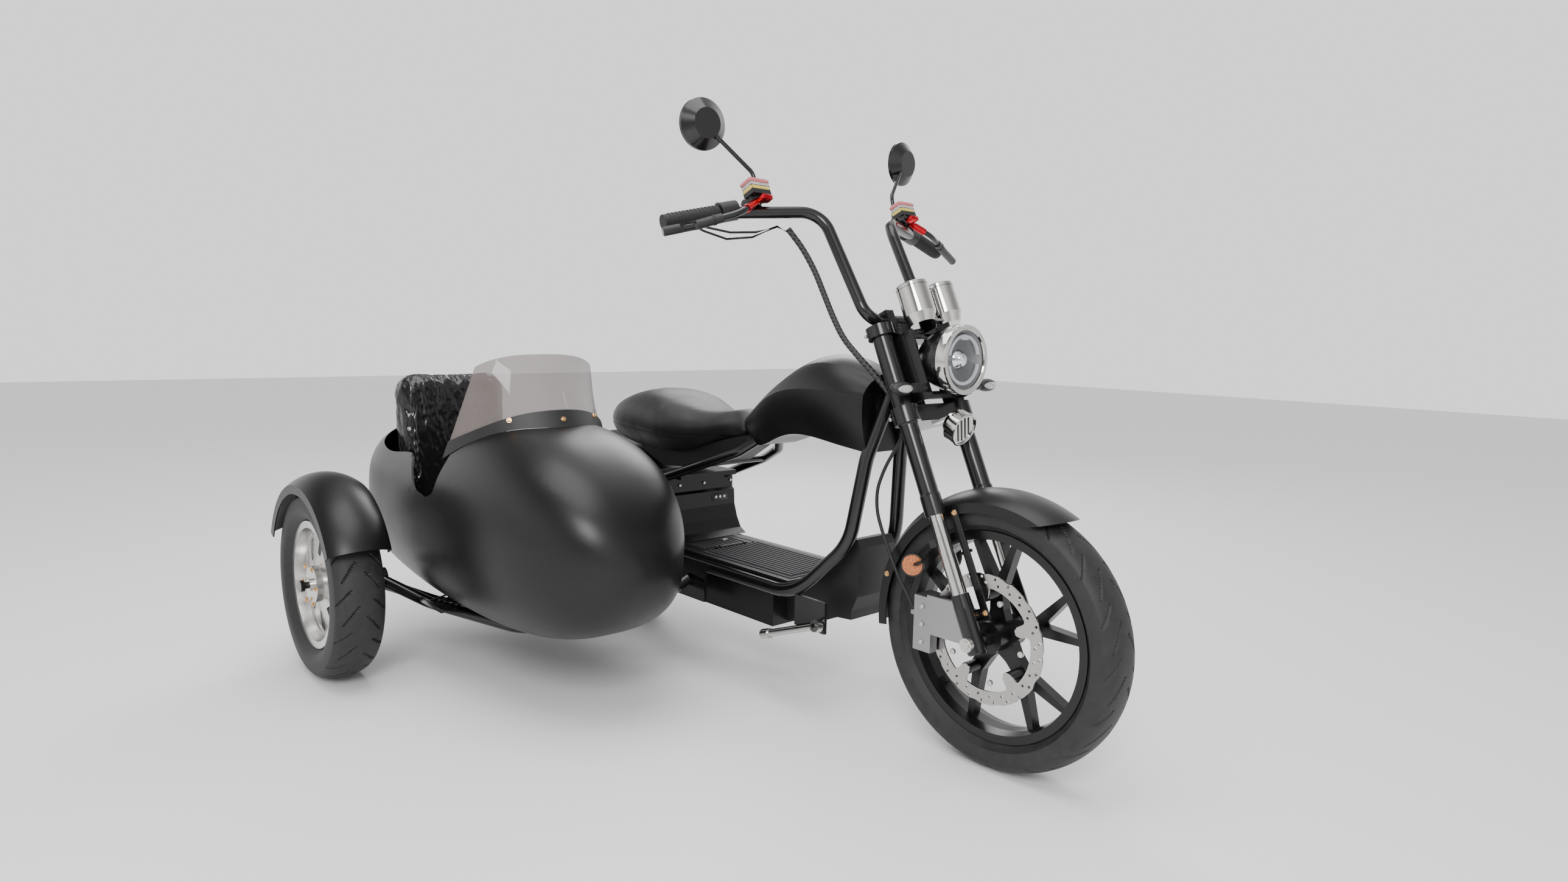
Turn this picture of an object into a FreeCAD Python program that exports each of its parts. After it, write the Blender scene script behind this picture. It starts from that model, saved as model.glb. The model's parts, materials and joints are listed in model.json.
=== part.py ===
"""Electric chopper scooter with a sidecar, built as a parametric document.

Frame of the whole: millimetres, +X forward, +Y to the rider's left, +Z up.  The origin is on the
ground at the middle of the plan box.  Wheels, fork and handlebar are drawn in local frames that the
sheet's wheel places and rake carry into the whole.
"""
import FreeCAD, Part
import math
import os
import re
import Sketcher

V = FreeCAD.Vector
doc = FreeCAD.newDocument("ChopperScooter")

# ---------------------------------------------------------------- driving dimensions
SIZES = [
    # overall layout
    ("front_axle_x", 772, "front axle, forward of the origin"),
    ("bike_y", 245, "middle plane of the scooter, left of the origin"),
    ("wheelbase", 1480, "front axle to rear axle"),
    ("sidecar_track", 921, "scooter's middle plane to the sidecar wheel's"),
    ("sidecar_lead", 30, "sidecar wheel ahead of the rear axle"),
    ("sidecar_offset", 500, "scooter's middle plane to the sidecar body's"),
    # wheels
    ("front_tyre_radius", 293, ""), ("front_tyre_width", 112, ""),
    ("front_rim_radius", 228, "outside of the rim lips"), ("front_rim_width", 78, ""),
    ("rear_tyre_radius", 245, ""), ("rear_tyre_width", 190, ""),
    ("rear_rim_radius", 162, ""), ("rear_rim_width", 150, ""),
    ("side_tyre_radius", 249, ""), ("side_tyre_width", 126, ""),
    ("side_rim_radius", 166, ""), ("side_rim_width", 92, ""),
    ("bead_depth", 12, "lip height over the tyre's seat"),
    ("lip_thickness", 5, ""), ("rim_wall", 6, ""),
    ("hub_radius", 34, ""), ("axle_radius", 9, ""),
    ("running_gap", 0.3, "clearance of anything that turns or sits in a bore"),
    ("spoke_count", 5, ""), ("spoke_phase", 23, "degrees above the front"),
    ("spoke_depth", 26, ""), ("motor_radius", 118, ""), ("motor_width", 128, ""),
    ("disc_radius", 141, ""), ("disc_inner_radius", 112, ""), ("disc_thickness", 4, ""),
    ("disc_offset", 57, "disc's middle plane to the wheel's"), ("disc_bolt_radius", 92, ""),
    # fork, measured along the legs from the axle
    ("rake", 24.5, "degrees from the vertical"), ("leg_spacing", 190, ""),
    ("steering_offset", 45, "legs' plane to the steering axis"),
    ("lower_radius", 21, ""), ("lower_drop", 25, ""), ("lower_top", 103, ""),
    ("stanchion_radius", 16.5, ""), ("seal_bottom", 277, ""), ("seal_top", 321, ""),
    ("seal_radius", 23, ""), ("slider_radius", 21, ""), ("sleeve_radius", 22.5, ""),
    ("lower_yoke_bottom", 486, ""), ("lower_yoke_height", 38, ""),
    ("top_yoke_bottom", 690, ""), ("top_yoke_height", 26, ""), ("stem_radius", 14, ""),
    ("head_radius", 27, "outside of the frame's head tube"), ("head_gap", 6, "yoke to head tube"),
    # handlebar and what it carries
    ("bar_radius", 14, ""), ("bar_height", 739, "bar's middle at the clamps"),
    ("clamp_spacing", 90, ""), ("clamp_width", 26, ""), ("grip_length", 132, ""),
    ("grip_radius", 17.5, ""), ("mirror_radius", 58, ""), ("gauge_radius", 36, ""),
    ("gauge_spacing", 92, ""), ("gauge_height", 84, ""),
    ("lamp_radius", 70, ""), ("lamp_ring_radius", 76, ""), ("lamp_depth", 118, ""),
    ("lamp_height", 877, ""), ("lamp_front", -117, "lens front, from the front axle"),
    ("horn_radius", 38, ""),
    # front fender
    ("fender_radius", 317, ""), ("fender_half_width", 69, ""), ("fender_skirt", 48, ""),
    ("fender_wall", 3, ""), ("fender_front_angle", 59, ""), ("fender_rear_angle", 187, ""),
    # frame, floor and battery box
    ("cradle_radius", 17, ""), ("cradle_spread", 140, "rail's middle from the middle plane"),
    ("rail_height", 291, ""), ("backbone_radius", 24, ""), ("seat_rail_radius", 13, ""),
    ("floor_top", 312, ""), ("floor_plate", 8, ""), ("floor_half_width", 122, ""),
    ("floor_front", -545, ""), ("floor_rear", -1092, ""),
    ("lid_front", -917, ""), ("lid_rear", -1030, ""), ("lid_half_width", 92, ""), ("lid_thickness", 8, ""),
    ("box_front", -612, ""), ("box_rear", -1062, ""), ("box_bottom", 176, ""),
    ("box_half_width", 110, ""), ("box_wall", 4, ""),
    ("cover_front", -1097, ""), ("cover_rear", -1150, ""), ("cover_half_width", 157, ""),
    ("cover_top", 500, ""), ("ledge_height", 440, ""),
    ("pivot_x", -1165, "swingarm pivot"), ("pivot_height", 262, ""),
    ("arm_half_width", 112, "middle of the swingarm's sides"), ("arm_tube", 24, ""),
    ("rear_fender_radius", 345, ""), ("rear_fender_half_width", 122, ""),
    ("stand_x", -415, ""), ("stand_height", 229, ""), ("stand_length", 192, ""),
    # sidecar
    ("body_half_width", 258, ""), ("body_nose", -612, ""), ("body_tail", -1800, ""),
    ("body_wall", 5, ""), ("subframe_radius", 15, ""),
    ("side_fender_radius", 291, ""), ("side_fender_half_width", 76, ""),
    ("screen_thickness", 4, ""), ("cushion_height", 90, ""),
]
sheet = doc.addObject("Spreadsheet::Sheet", "Sizes")
for row, (alias, value, note) in enumerate(SIZES, start=1):
    sheet.set("A%d" % row, alias)
    sheet.set("B%d" % row, str(value))
    sheet.set("C%d" % row, note)
    sheet.setAlias("B%d" % row, alias)
doc.recompute()
ALIASES = {alias for alias, _, _ in SIZES}
PARTS = []


def size(alias):
    """One driving dimension, as a number."""
    return float(sheet.get(alias))


def bound(expression):
    """The same expression with each alias pointing at the sheet."""
    return re.sub(r"[a-z_]+[a-z]", lambda m: "Sizes." + m.group() if m.group() in ALIASES else m.group(),
                  str(expression))


def value_of(expression):
    return float(sheet.evalExpression(bound(expression)))


# ---------------------------------------------------------------- frames
REAR_AXLE_X = size("front_axle_x") - size("wheelbase")
SIDE_AXLE_X = REAR_AXLE_X + size("sidecar_lead")
RAKE = math.radians(size("rake"))
SIDE_Y = size("bike_y") - size("sidecar_offset")
ALONG_Y = V(0, 1, 0)
FORK = FreeCAD.Placement(V(size("front_axle_x"), size("bike_y"), size("front_tyre_radius")),
                         FreeCAD.Rotation(ALONG_Y, -size("rake")))


def at(x, y, z):
    """A point measured from under the front axle, in the scooter's middle plane."""
    return V(size("front_axle_x") + x, size("bike_y") + y, z)


def beside(x, y, z):
    """A point measured from under the front axle, in the sidecar body's middle plane."""
    return V(size("front_axle_x") + x, SIDE_Y + y, z)


def on_fork(forward, left, up):
    """A point of the fork's frame, in the whole."""
    return FORK.multVec(V(forward, left, up))


def level_on_fork(point):
    """A level frame at a point of the whole that rides on the fork."""
    return FreeCAD.Placement(point, FreeCAD.Rotation())


# ---------------------------------------------------------------- document helpers
def keep(obj, label):
    obj.Label = label
    PARTS.append(obj)
    return obj


def feature(label, shape, placement=None):
    """A sub-part whose shape comes from Part's own functions."""
    obj = doc.addObject("Part::Feature", label)
    obj.Shape = shape
    if placement is not None:
        obj.Placement = placement
    return keep(obj, label)


def body(label, placement=None):
    obj = doc.addObject("PartDesign::Body", label)
    obj.AllowCompound = True
    if placement is not None:
        obj.Placement = placement
    return keep(obj, label)


def plane(owner, role):
    return next(o for o in owner.Origin.OriginFeatures if o.Role == role)


def new_sketch(owner, name, on):
    sketch = owner.newObject("Sketcher::SketchObject", name)
    sketch.AttachmentSupport = [(plane(owner, on), "")]
    sketch.MapMode = "FlatFace"
    return sketch


def pin_point(sketch, edge, end, across, up):
    """Hold one point of an edge at two sheet expressions from the sketch's origin."""
    for kind, expression in (("DistanceX", across), ("DistanceY", up)):
        index = sketch.addConstraint(Sketcher.Constraint(kind, -1, 1, edge, end, value_of(expression)))
        sketch.setExpression("Constraints[%d]" % index, bound(expression))


def outline(owner, name, on, points):
    """A closed outline of straight edges whose corners are sheet expressions."""
    sketch = new_sketch(owner, name, on)
    corners = [V(value_of(across), value_of(up), 0) for across, up in points]
    count = len(points)
    for i in range(count):
        sketch.addGeometry(Part.LineSegment(corners[i], corners[(i + 1) % count]), False)
    for i in range(count):
        sketch.addConstraint(Sketcher.Constraint("Coincident", i, 2, (i + 1) % count, 1))
    for i, (across, up) in enumerate(points):
        pin_point(sketch, i, 1, across, up)
    return sketch


def circles(owner, name, on, rounds):
    """A sketch of circles, each given by its middle and radius as sheet expressions."""
    sketch = new_sketch(owner, name, on)
    for across, up, radius in rounds:
        middle = V(value_of(across), value_of(up), 0)
        edge = sketch.addGeometry(Part.Circle(middle, V(0, 0, 1), value_of(radius)), False)
        pin_point(sketch, edge, 3, across, up)
        index = sketch.addConstraint(Sketcher.Constraint("Radius", edge, value_of(radius)))
        sketch.setExpression("Constraints[%d]" % index, bound(radius))
    return sketch


def revolve(owner, name, sketch, axis="V_Axis"):
    turned = owner.newObject("PartDesign::Revolution", name)
    turned.Profile = sketch
    turned.ReferenceAxis = (sketch, [axis])
    turned.Angle = 360
    return turned


def pad(owner, name, sketch, length, midplane=True, back=False):
    extrusion = owner.newObject("PartDesign::Pad", name)
    extrusion.Profile = sketch
    extrusion.setExpression("Length", bound(length))
    extrusion.Midplane = midplane
    extrusion.Reversed = back
    return extrusion


def pocket(owner, name, sketch):
    """A cut right through, both ways from the sketch."""
    cut = owner.newObject("PartDesign::Pocket", name)
    cut.Profile = sketch
    cut.Type = "ThroughAll"
    cut.Midplane = True
    return cut


def around(owner, name, original, sketch, count, axis="N_Axis"):
    """Repeat a feature evenly about the normal of its sketch at the origin."""
    doc.recompute()
    ring = owner.newObject("PartDesign::PolarPattern", name)
    ring.Originals = [original]
    ring.Axis = (sketch, [axis])
    ring.Angle = 360
    ring.setExpression("Occurrences", bound(count))
    owner.Tip = ring
    return ring


def mirrored(owner, name, originals, role="XZ_Plane"):
    doc.recompute()
    pair = owner.newObject("PartDesign::Mirrored", name)
    pair.Originals = originals
    pair.MirrorPlane = (plane(owner, role), [""])
    owner.Tip = pair
    return pair


# ---------------------------------------------------------------- shape helpers
def rod(start, end, radius):
    """A round bar between two points."""
    run = end - start
    return Part.makeCylinder(radius, run.Length, start, run)


def sleeve(start, end, radius, bore):
    return rod(start, end, radius).cut(rod(start, end, bore))


def route(points, radii):
    """Straight runs joined by tangent arcs, one radius for each inner point."""
    edges = []
    last = points[0]
    for before, corner, after, radius in zip(points, points[1:], points[2:], radii):
        inward = (before - corner).normalize()
        onward = (after - corner).normalize()
        half = inward.getAngle(onward) / 2
        back = radius / math.tan(half)
        start = corner + inward * back
        end = corner + onward * back
        bisector = (inward + onward).normalize()
        middle = corner + bisector * (radius / math.sin(half) - radius)
        edges.append(Part.LineSegment(last, start).toShape())
        edges.append(Part.Arc(start, middle, end).toShape())
        last = end
    edges.append(Part.LineSegment(last, points[-1]).toShape())
    return Part.Wire(edges)


def bent_tube(points, radii, radius):
    """A round bar along a route."""
    path = route(points, radii)
    ring = Part.Wire(Part.makeCircle(radius, points[0], points[1] - points[0]))
    return path.makePipeShell([ring], True, False)


def both_sides(shape, middle_y):
    """The shape and its mirror image about an upright lengthwise plane."""
    other = shape.mirror(V(0, middle_y, 0), ALONG_Y)
    return [shape, other]


def box(low, high):
    span = high - low
    return Part.makeBox(span.x, span.y, span.z, low)


def closed_spline(points):
    curve = Part.BSplineCurve()
    curve.interpolate(points, PeriodicFlag=True)
    return Part.Wire(curve.toShape())


def arc(start, middle, end):
    return Part.Arc(start, middle, end).toShape()


def line(start, end):
    return Part.LineSegment(start, end).toShape()


def fused(shapes):
    return shapes[0].multiFuse(shapes[1:]).removeSplitter() if len(shapes) > 1 else shapes[0]


def group(shapes):
    """Like pieces of one body that don't touch, kept as separate solids."""
    return Part.makeCompound([solid for shape in shapes for solid in shape.Solids])


def follow(owner, x_expression, y_expression, z_expression):
    """Tie a sub-part's place to the sheet."""
    for axis, expression in zip("xyz", (x_expression, y_expression, z_expression)):
        owner.setExpression("Placement.Base." + axis, bound(expression))


# ---------------------------------------------------------------- wheels
WHEELS = {
    "front": ("front_axle_x", "bike_y"),
    "rear": ("front_axle_x - wheelbase", "bike_y"),
    "side": ("front_axle_x - wheelbase + sidecar_lead", "bike_y - sidecar_track"),
}


def wheel_body(label, wheel, turn=0):
    """A body whose origin is a wheel's middle and whose Y axis is the axle."""
    owner = body(label, FreeCAD.Placement(V(), FreeCAD.Rotation(ALONG_Y, turn)))
    across, left = WHEELS[wheel]
    follow(owner, across, left, wheel + "_tyre_radius")
    return owner


def make_tyre(label, wheel):
    """A solid ring between the rim's lips, with a rounded tread."""
    names = {"R": wheel + "_tyre_radius", "W": wheel + "_tyre_width",
             "L": wheel + "_rim_radius", "B": wheel + "_rim_width"}
    half = [("{L} - bead_depth + running_gap", "{B} / 2 - lip_thickness - running_gap"),
            ("{L} + 3", "{B} / 2 - lip_thickness - running_gap"),
            ("{L} + 12", "{W} / 2 - 7"),
            ("({L} + {R}) / 2", "{W} / 2"),
            ("{R} - 16", "{W} / 2 - 4"),
            ("{R} - 5", "{W} * 0.3"),
            ("{R}", "{W} * 0.1")]
    half = [(across.format(**names), up.format(**names)) for across, up in half]
    section = half + [(across, "-(" + up + ")") for across, up in reversed(half)]
    owner = wheel_body(label, wheel)
    revolve(owner, label + "_ring", outline(owner, label + "_section", "XY_Plane", section))


def barrel(owner, wheel):
    """The rim's rolled ring with its two lips."""
    seat = wheel + "_rim_radius - bead_depth"
    edge = wheel + "_rim_width / 2"
    half = [(seat, edge + " - lip_thickness"), (wheel + "_rim_radius", edge + " - lip_thickness"),
            (wheel + "_rim_radius", edge), (seat + " - rim_wall", edge),
            (seat + " - rim_wall - 5", edge + " * 0.4")]
    section = half + [(across, "-(" + up + ")") for across, up in reversed(half)]
    revolve(owner, owner.Label + "_barrel",
            outline(owner, owner.Label + "_barrel_section", "XY_Plane", section))


def hub(owner, radius, half_width, boss_half_width):
    """A bored hub with a narrower boss at each end."""
    bore = "axle_radius + running_gap"
    half = [(bore, boss_half_width), ("axle_radius + 7", boss_half_width),
            ("axle_radius + 7", half_width), (radius, half_width)]
    section = half + [(across, "-(" + up + ")") for across, up in reversed(half)]
    revolve(owner, owner.Label + "_hub", outline(owner, owner.Label + "_hub_section", "XY_Plane", section))


def mirrored_outline(half):
    """An outline that is the same on both sides of its own first axis."""
    return half + [(across, "-(" + up + ")") for across, up in reversed(half) if up != "0"]


def make_front_rim():
    """Five arms, each forked into two branches, and the bosses that the brake disc bolts to."""
    owner = wheel_body("front_rim", "front", -size("spoke_phase"))
    barrel(owner, "front")
    reach = "(front_rim_radius - bead_depth - 8)"
    arm = mirrored_outline([
        ("hub_radius - 8", "25"), ("hub_radius + 22", "17"), ("disc_bolt_radius + 4", "16"),
        (reach + " * 0.9613", reach + " * 0.2756"), (reach + " * 0.9774", reach + " * 0.2113"),
        ("disc_bolt_radius + 26", "0")])
    sketch = outline(owner, "arm_outline", "XZ_Plane", arm)
    arms = pad(owner, "arm", sketch, "spoke_depth")
    around(owner, "arms", arms, sketch, "spoke_count")
    hub(owner, "hub_radius", "48", "leg_spacing / 2 - lower_radius - 5")
    bolt = circles(owner, "disc_boss_outline", "XZ_Plane", [("disc_bolt_radius", "0", "13")])
    boss = pad(owner, "disc_boss", bolt, "disc_offset - disc_thickness / 2", midplane=False)
    around(owner, "disc_bosses", boss, bolt, "spoke_count")


def make_rear_rim():
    """The motor's drum, joined to the rim by a ring of short spokes."""
    owner = wheel_body("rear_rim", "rear")
    barrel(owner, "rear")
    reach = "(rear_rim_radius - bead_depth - rim_wall - 3)"
    spoke = mirrored_outline([("motor_radius - 10", "15"), (reach, "11")])
    sketch = outline(owner, "short_spoke_outline", "XZ_Plane", spoke)
    spokes = pad(owner, "short_spoke", sketch, "34")
    around(owner, "short_spokes", spokes, sketch, "10")
    hub(owner, "motor_radius", "motor_width / 2", "arm_half_width - arm_tube / 2 - 5")


def make_side_rim():
    """A polished web with swept slots and a chromed hub."""
    owner = wheel_body("sidecar_rim", "side")
    barrel(owner, "side")
    seat = "side_rim_radius - bead_depth"
    web = [("hub_radius + 10", "-30"), (seat + " - rim_wall - 3", "-14"), (seat + " - rim_wall - 3", "-4"),
           ("hub_radius + 10", "-18")]
    revolve(owner, "web", outline(owner, "web_section", "XY_Plane", web))
    slot = [("72", "-9"), ("128", "-26"), ("134", "-4"), ("112", "14"), ("78", "12")]
    sketch = outline(owner, "slot_outline", "XZ_Plane", slot)
    slots = pocket(owner, "slot", sketch)
    around(owner, "slots", slots, sketch, "8")
    hub(owner, "hub_radius + 14", "46", "54")


def make_brake_disc():
    """A drilled ring with five lugs and a scalloped edge."""
    owner = wheel_body("brake_disc", "front", -size("spoke_phase"))
    follow(owner, "front_axle_x", "bike_y - disc_offset", "front_tyre_radius")
    edges = [("0", "0", "disc_radius"), ("0", "0", "disc_inner_radius")]
    ring = circles(owner, "disc_ring", "XZ_Plane", edges)
    pad(owner, "disc_plate", ring, "disc_thickness")
    lug_outline = mirrored_outline([
        ("disc_inner_radius + 5", "26"), ("disc_inner_radius - 6", "14"), ("disc_bolt_radius - 4", "11"),
        ("disc_bolt_radius - 12", "5")])
    sketch = outline(owner, "disc_lug_outline", "XZ_Plane", lug_outline)
    lug = pad(owner, "disc_lug", sketch, "disc_thickness")
    around(owner, "disc_lugs", lug, sketch, "spoke_count")
    bite = circles(owner, "scallop_outline", "XZ_Plane", [("disc_radius + 36", "0", "38")])
    scallop = pocket(owner, "scallop", bite)
    around(owner, "scallops", scallop, bite, "15")
    drill = circles(owner, "drill_outline", "XZ_Plane",
                    [("disc_radius - 7", "4", "3.4"), ("disc_radius - 19", "-6", "3.4")])
    hole = pocket(owner, "drilling", drill)
    around(owner, "drillings", hole, drill, "25")


make_tyre("front_tyre", "front")
make_tyre("rear_tyre", "rear")
make_tyre("sidecar_tyre", "side")
make_front_rim()
make_rear_rim()
make_side_rim()
make_brake_disc()


# ---------------------------------------------------------------- fork
def fork_body(label, up="0"):
    """A body in the fork's frame, raised along the legs."""
    owner = body(label, FreeCAD.Placement(V(), FORK.Rotation))
    follow(owner, "front_axle_x - (%s) * sin(rake * 1 deg)" % up, "bike_y",
           "front_tyre_radius + (%s) * cos(rake * 1 deg)" % up)
    return owner


def leg_pair(label, section):
    """A turned piece on both legs, from corners given as radius and height."""
    owner = fork_body(label)
    corners = [("leg_spacing / 2 + " + radius, up) for radius, up in section]
    sketch = outline(owner, label + "_section", "YZ_Plane", corners)
    axis = sketch.addGeometry(Part.LineSegment(V(value_of("leg_spacing / 2"), 0, 0),
                                               V(value_of("leg_spacing / 2"), 100, 0)), True)
    pin_point(sketch, axis, 1, "leg_spacing / 2", "0")
    pin_point(sketch, axis, 2, "leg_spacing / 2", "100")
    turned = revolve(owner, label + "_turning", sketch, "Axis0")
    return owner, turned


def make_fork_lowers():
    """The black castings that hold the axle."""
    owner, turned = leg_pair("fork_lowers", [
        ("0", "-lower_drop"), ("lower_radius - 3", "-lower_drop"), ("lower_radius", "-lower_drop + 4"),
        ("lower_radius", "lower_top - 30"), ("lower_radius - 1.5", "lower_top"), ("0", "lower_top")])
    mirrored(owner, "fork_lowers_pair", [turned])
    bore = circles(owner, "axle_bore", "XZ_Plane", [("0", "0", "axle_radius + running_gap")])
    owner.Tip = pocket(owner, "axle_hole", bore)


def make_fork_tubes():
    """Chromed stanchions below, black sleeves above that both yokes clamp."""
    owner, turned = leg_pair("fork_stanchions", [
        ("0", "lower_top"), ("stanchion_radius", "lower_top"), ("stanchion_radius", "seal_bottom"),
        ("0", "seal_bottom")])
    mirrored(owner, "fork_stanchions_pair", [turned])
    owner, turned = leg_pair("fork_tubes", [
        ("0", "seal_bottom"), ("seal_radius", "seal_bottom"), ("seal_radius", "seal_top"),
        ("slider_radius", "seal_top + 6"), ("slider_radius", "lower_yoke_bottom - 4"),
        ("sleeve_radius", "lower_yoke_bottom"), ("sleeve_radius", "top_yoke_bottom + top_yoke_height + 3"),
        ("0", "top_yoke_bottom + top_yoke_height + 3")])
    mirrored(owner, "fork_tubes_pair", [turned])


def yoke(label, height, thickness, clamp_radius, outline_points):
    """A plate across both legs, bored for the tubes."""
    owner = fork_body(label, height)
    plate = outline(owner, label + "_outline", "XY_Plane", outline_points)
    pad(owner, label + "_plate", plate, thickness, midplane=False)
    ears = circles(owner, label + "_ears", "XY_Plane",
                   [("0", "leg_spacing / 2", clamp_radius), ("0", "-leg_spacing / 2", clamp_radius)])
    pad(owner, label + "_clamps", ears, thickness, midplane=False)
    return owner


def bore_yoke(owner):
    doc.recompute()
    bores = circles(owner, owner.Label + "_bores", "XY_Plane",
                    [("0", "leg_spacing / 2", "sleeve_radius + running_gap"),
                     ("0", "-leg_spacing / 2", "sleeve_radius + running_gap")])
    owner.Tip = pocket(owner, owner.Label + "_bored", bores)


def make_yokes():
    lower = yoke("lower_yoke", "lower_yoke_bottom", "lower_yoke_height", "sleeve_radius + 8",
                 mirrored_outline([("16", "leg_spacing / 2"), ("-22", "leg_spacing / 2"),
                                   ("-steering_offset - 28", "22")]))
    stem = circles(lower, "stem_outline", "XY_Plane", [("-steering_offset", "0", "stem_radius")])
    pad(lower, "stem", stem, "top_yoke_bottom - lower_yoke_bottom", midplane=False)
    bore_yoke(lower)
    top = yoke("top_yoke", "top_yoke_bottom", "top_yoke_height", "sleeve_radius + 9",
               mirrored_outline([("24", "leg_spacing / 2"), ("-18", "leg_spacing / 2"),
                                 ("-steering_offset - 26", "26")]))
    bore_yoke(top)


def make_front_axle():
    """The front axle with its hexagon nuts outside the castings."""
    reach = size("leg_spacing") / 2 + size("lower_radius")
    wheel = FORK.Base
    shaft = rod(wheel + V(0, -reach - 14, 0), wheel + V(0, reach + 14, 0), size("axle_radius"))
    nuts = [rod(wheel + V(0, side * (reach + 0.5), 0), wheel + V(0, side * (reach + 11), 0), 15)
            for side in (-1, 1)]
    feature("front_axle", fused([shaft] + nuts))


make_fork_lowers()
make_fork_tubes()
make_yokes()
make_front_axle()

# ---------------------------------------------------------------- handlebar and controls
BAR_TOP = size("bar_height")
BAR = [V(-18, 104, BAR_TOP), V(-48, 116, 1026), V(-146, 335, 1054), V(-182, 468, 1036)]
BAR_BENDS = [45, 62, 50]


def flip(point):
    return V(point.x, -point.y, point.z)


def on_both_bars(make):
    """A piece of the left half of the bar, and its mirror image."""
    left = make()
    return [left, left.mirror(V(), ALONG_Y)]


def toward_grip(distance, forward=0.0, up=0.0):
    """A point of the left grip's run, so far in from the bar's end, moved in the fork's frame."""
    run = (BAR[2] - BAR[3]).normalize()
    return BAR[3] + run * distance + V(forward, 0, up)


def make_handlebar():
    points = [flip(p) for p in reversed(BAR)] + BAR
    feature("handlebar", bent_tube(points, BAR_BENDS[:0:-1] + [BAR_BENDS[0]] * 2 + BAR_BENDS[1:],
                                   size("bar_radius")), FORK)


def make_clamps():
    """Chromed risers and the split blocks that hold the bar."""
    foot = size("top_yoke_bottom") + size("top_yoke_height")
    half = size("clamp_width") / 2
    solids = []
    for side in (-1, 1):
        middle = V(BAR[0].x, side * size("clamp_spacing") / 2, BAR_TOP)
        riser = rod(V(middle.x, middle.y, foot), V(middle.x, middle.y, BAR_TOP - 16), 13)
        block = box(middle + V(-21, -half, -19), middle + V(21, half, 19))
        hole = rod(middle + V(0, -half - 1, 0), middle + V(0, half + 1, 0),
                   size("bar_radius") + size("running_gap"))
        solids.append(fused([riser, block]).cut(hole))
    feature("handlebar_clamps", group(solids), FORK)


def make_grips():
    gap = size("running_gap")

    def grip():
        inner, end = toward_grip(size("grip_length")), toward_grip(0)
        out = (end - inner).normalize()
        rubber = sleeve(inner, end + out * gap, size("grip_radius"), size("bar_radius") + gap)
        return fused([rubber, rod(end + out * gap, end + out * 5, size("grip_radius"))])
    feature("grips", group(on_both_bars(grip)), FORK)


def make_controls():
    """Switch pod, lever perch and fluid reservoir on each side."""
    def pod():
        inner = toward_grip(size("grip_length") + 47)
        outer = toward_grip(size("grip_length") + 3)
        out = (outer - inner).normalize()
        housing = rod(inner, outer, 23)
        perch_end = inner - out * 58
        perch = rod(perch_end, inner - out * 26, 20)
        middle = inner - out * 42 + V(30, 0, 4)
        cylinder = rod(middle - out * 26, middle + out * 24, 11)
        link = rod(inner - out * 42, middle, 12)
        reservoir = box(middle + V(-17, -27, 6), middle + V(17, 27, 34))
        whole = fused([perch, link, cylinder, reservoir])
        bar = bent_tube([V(-18, 0, BAR_TOP)] + BAR, BAR_BENDS, size("bar_radius") + size("running_gap"))
        return group([housing.cut(bar), whole.cut(bar)])
    pods = group(on_both_bars(pod))
    feature("control_pods", pods, FORK)
    return pods


def make_levers():
    """Brake levers that droop along the grips."""
    def lever():
        root = toward_grip(size("grip_length") + 66) + V(38.9, 0, -8.4)
        points = [root, V(-84, 330, 1022), V(-128, 430, 1004), V(-158, 500, 998)]
        return bent_tube(points, [60, 80], 7)
    feature("brake_levers", group(on_both_bars(lever)), FORK)


def make_mirrors(pods):
    """Round mirrors on stems that stand on the control pods."""
    def mirror():
        foot = V(-116, 242, 1072)
        knee = V(-104, 241, 1142)
        head = V(-109, 345, 1256)
        stem = bent_tube([foot, knee, head], [30], 5)
        boot = Part.makeCone(11, 7, 34, foot, knee - foot)
        facing = V(-0.86, -0.12, 0.42).normalize()
        shell = Part.makeCone(34, size("mirror_radius"), 20, head - facing * 16, facing)
        rim = rod(head + facing * 4, head + facing * 12, size("mirror_radius"))
        whole = fused([stem, boot, shell, rim]).cut(pods)
        return max(whole.Solids, key=lambda s: s.Volume)
    feature("mirrors", group(on_both_bars(mirror)), FORK)


make_handlebar()
make_clamps()
make_grips()
pods_shape = make_controls()
make_levers()
make_mirrors(pods_shape)


# ---------------------------------------------------------------- lamps, gauges and fender on the fork
def make_gauges():
    """Two chromed cups on a bracket ahead of the top yoke."""
    foot = size("top_yoke_bottom") - 2
    radius = size("gauge_radius")
    solids = []
    for side in (-1, 1):
        middle = V(82, side * size("gauge_spacing") / 2, foot)
        lower = Part.makeCone(radius - 8, radius, 22, middle)
        upper = rod(middle + V(0, 0, 22), middle + V(0, 0, size("gauge_height")), radius)
        solids += [lower, upper]
    bar = box(V(24.5, -30, foot + 4), V(82, 30, foot + 10))
    cross = box(V(70, -size("gauge_spacing") / 2, foot + 4), V(94, size("gauge_spacing") / 2, foot + 10))
    feature("gauges", fused(solids + [bar, cross]), FORK)


def lamp_middle():
    """The middle of the headlight's lens, in the whole."""
    return at(size("lamp_front"), 0, size("lamp_height"))


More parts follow.
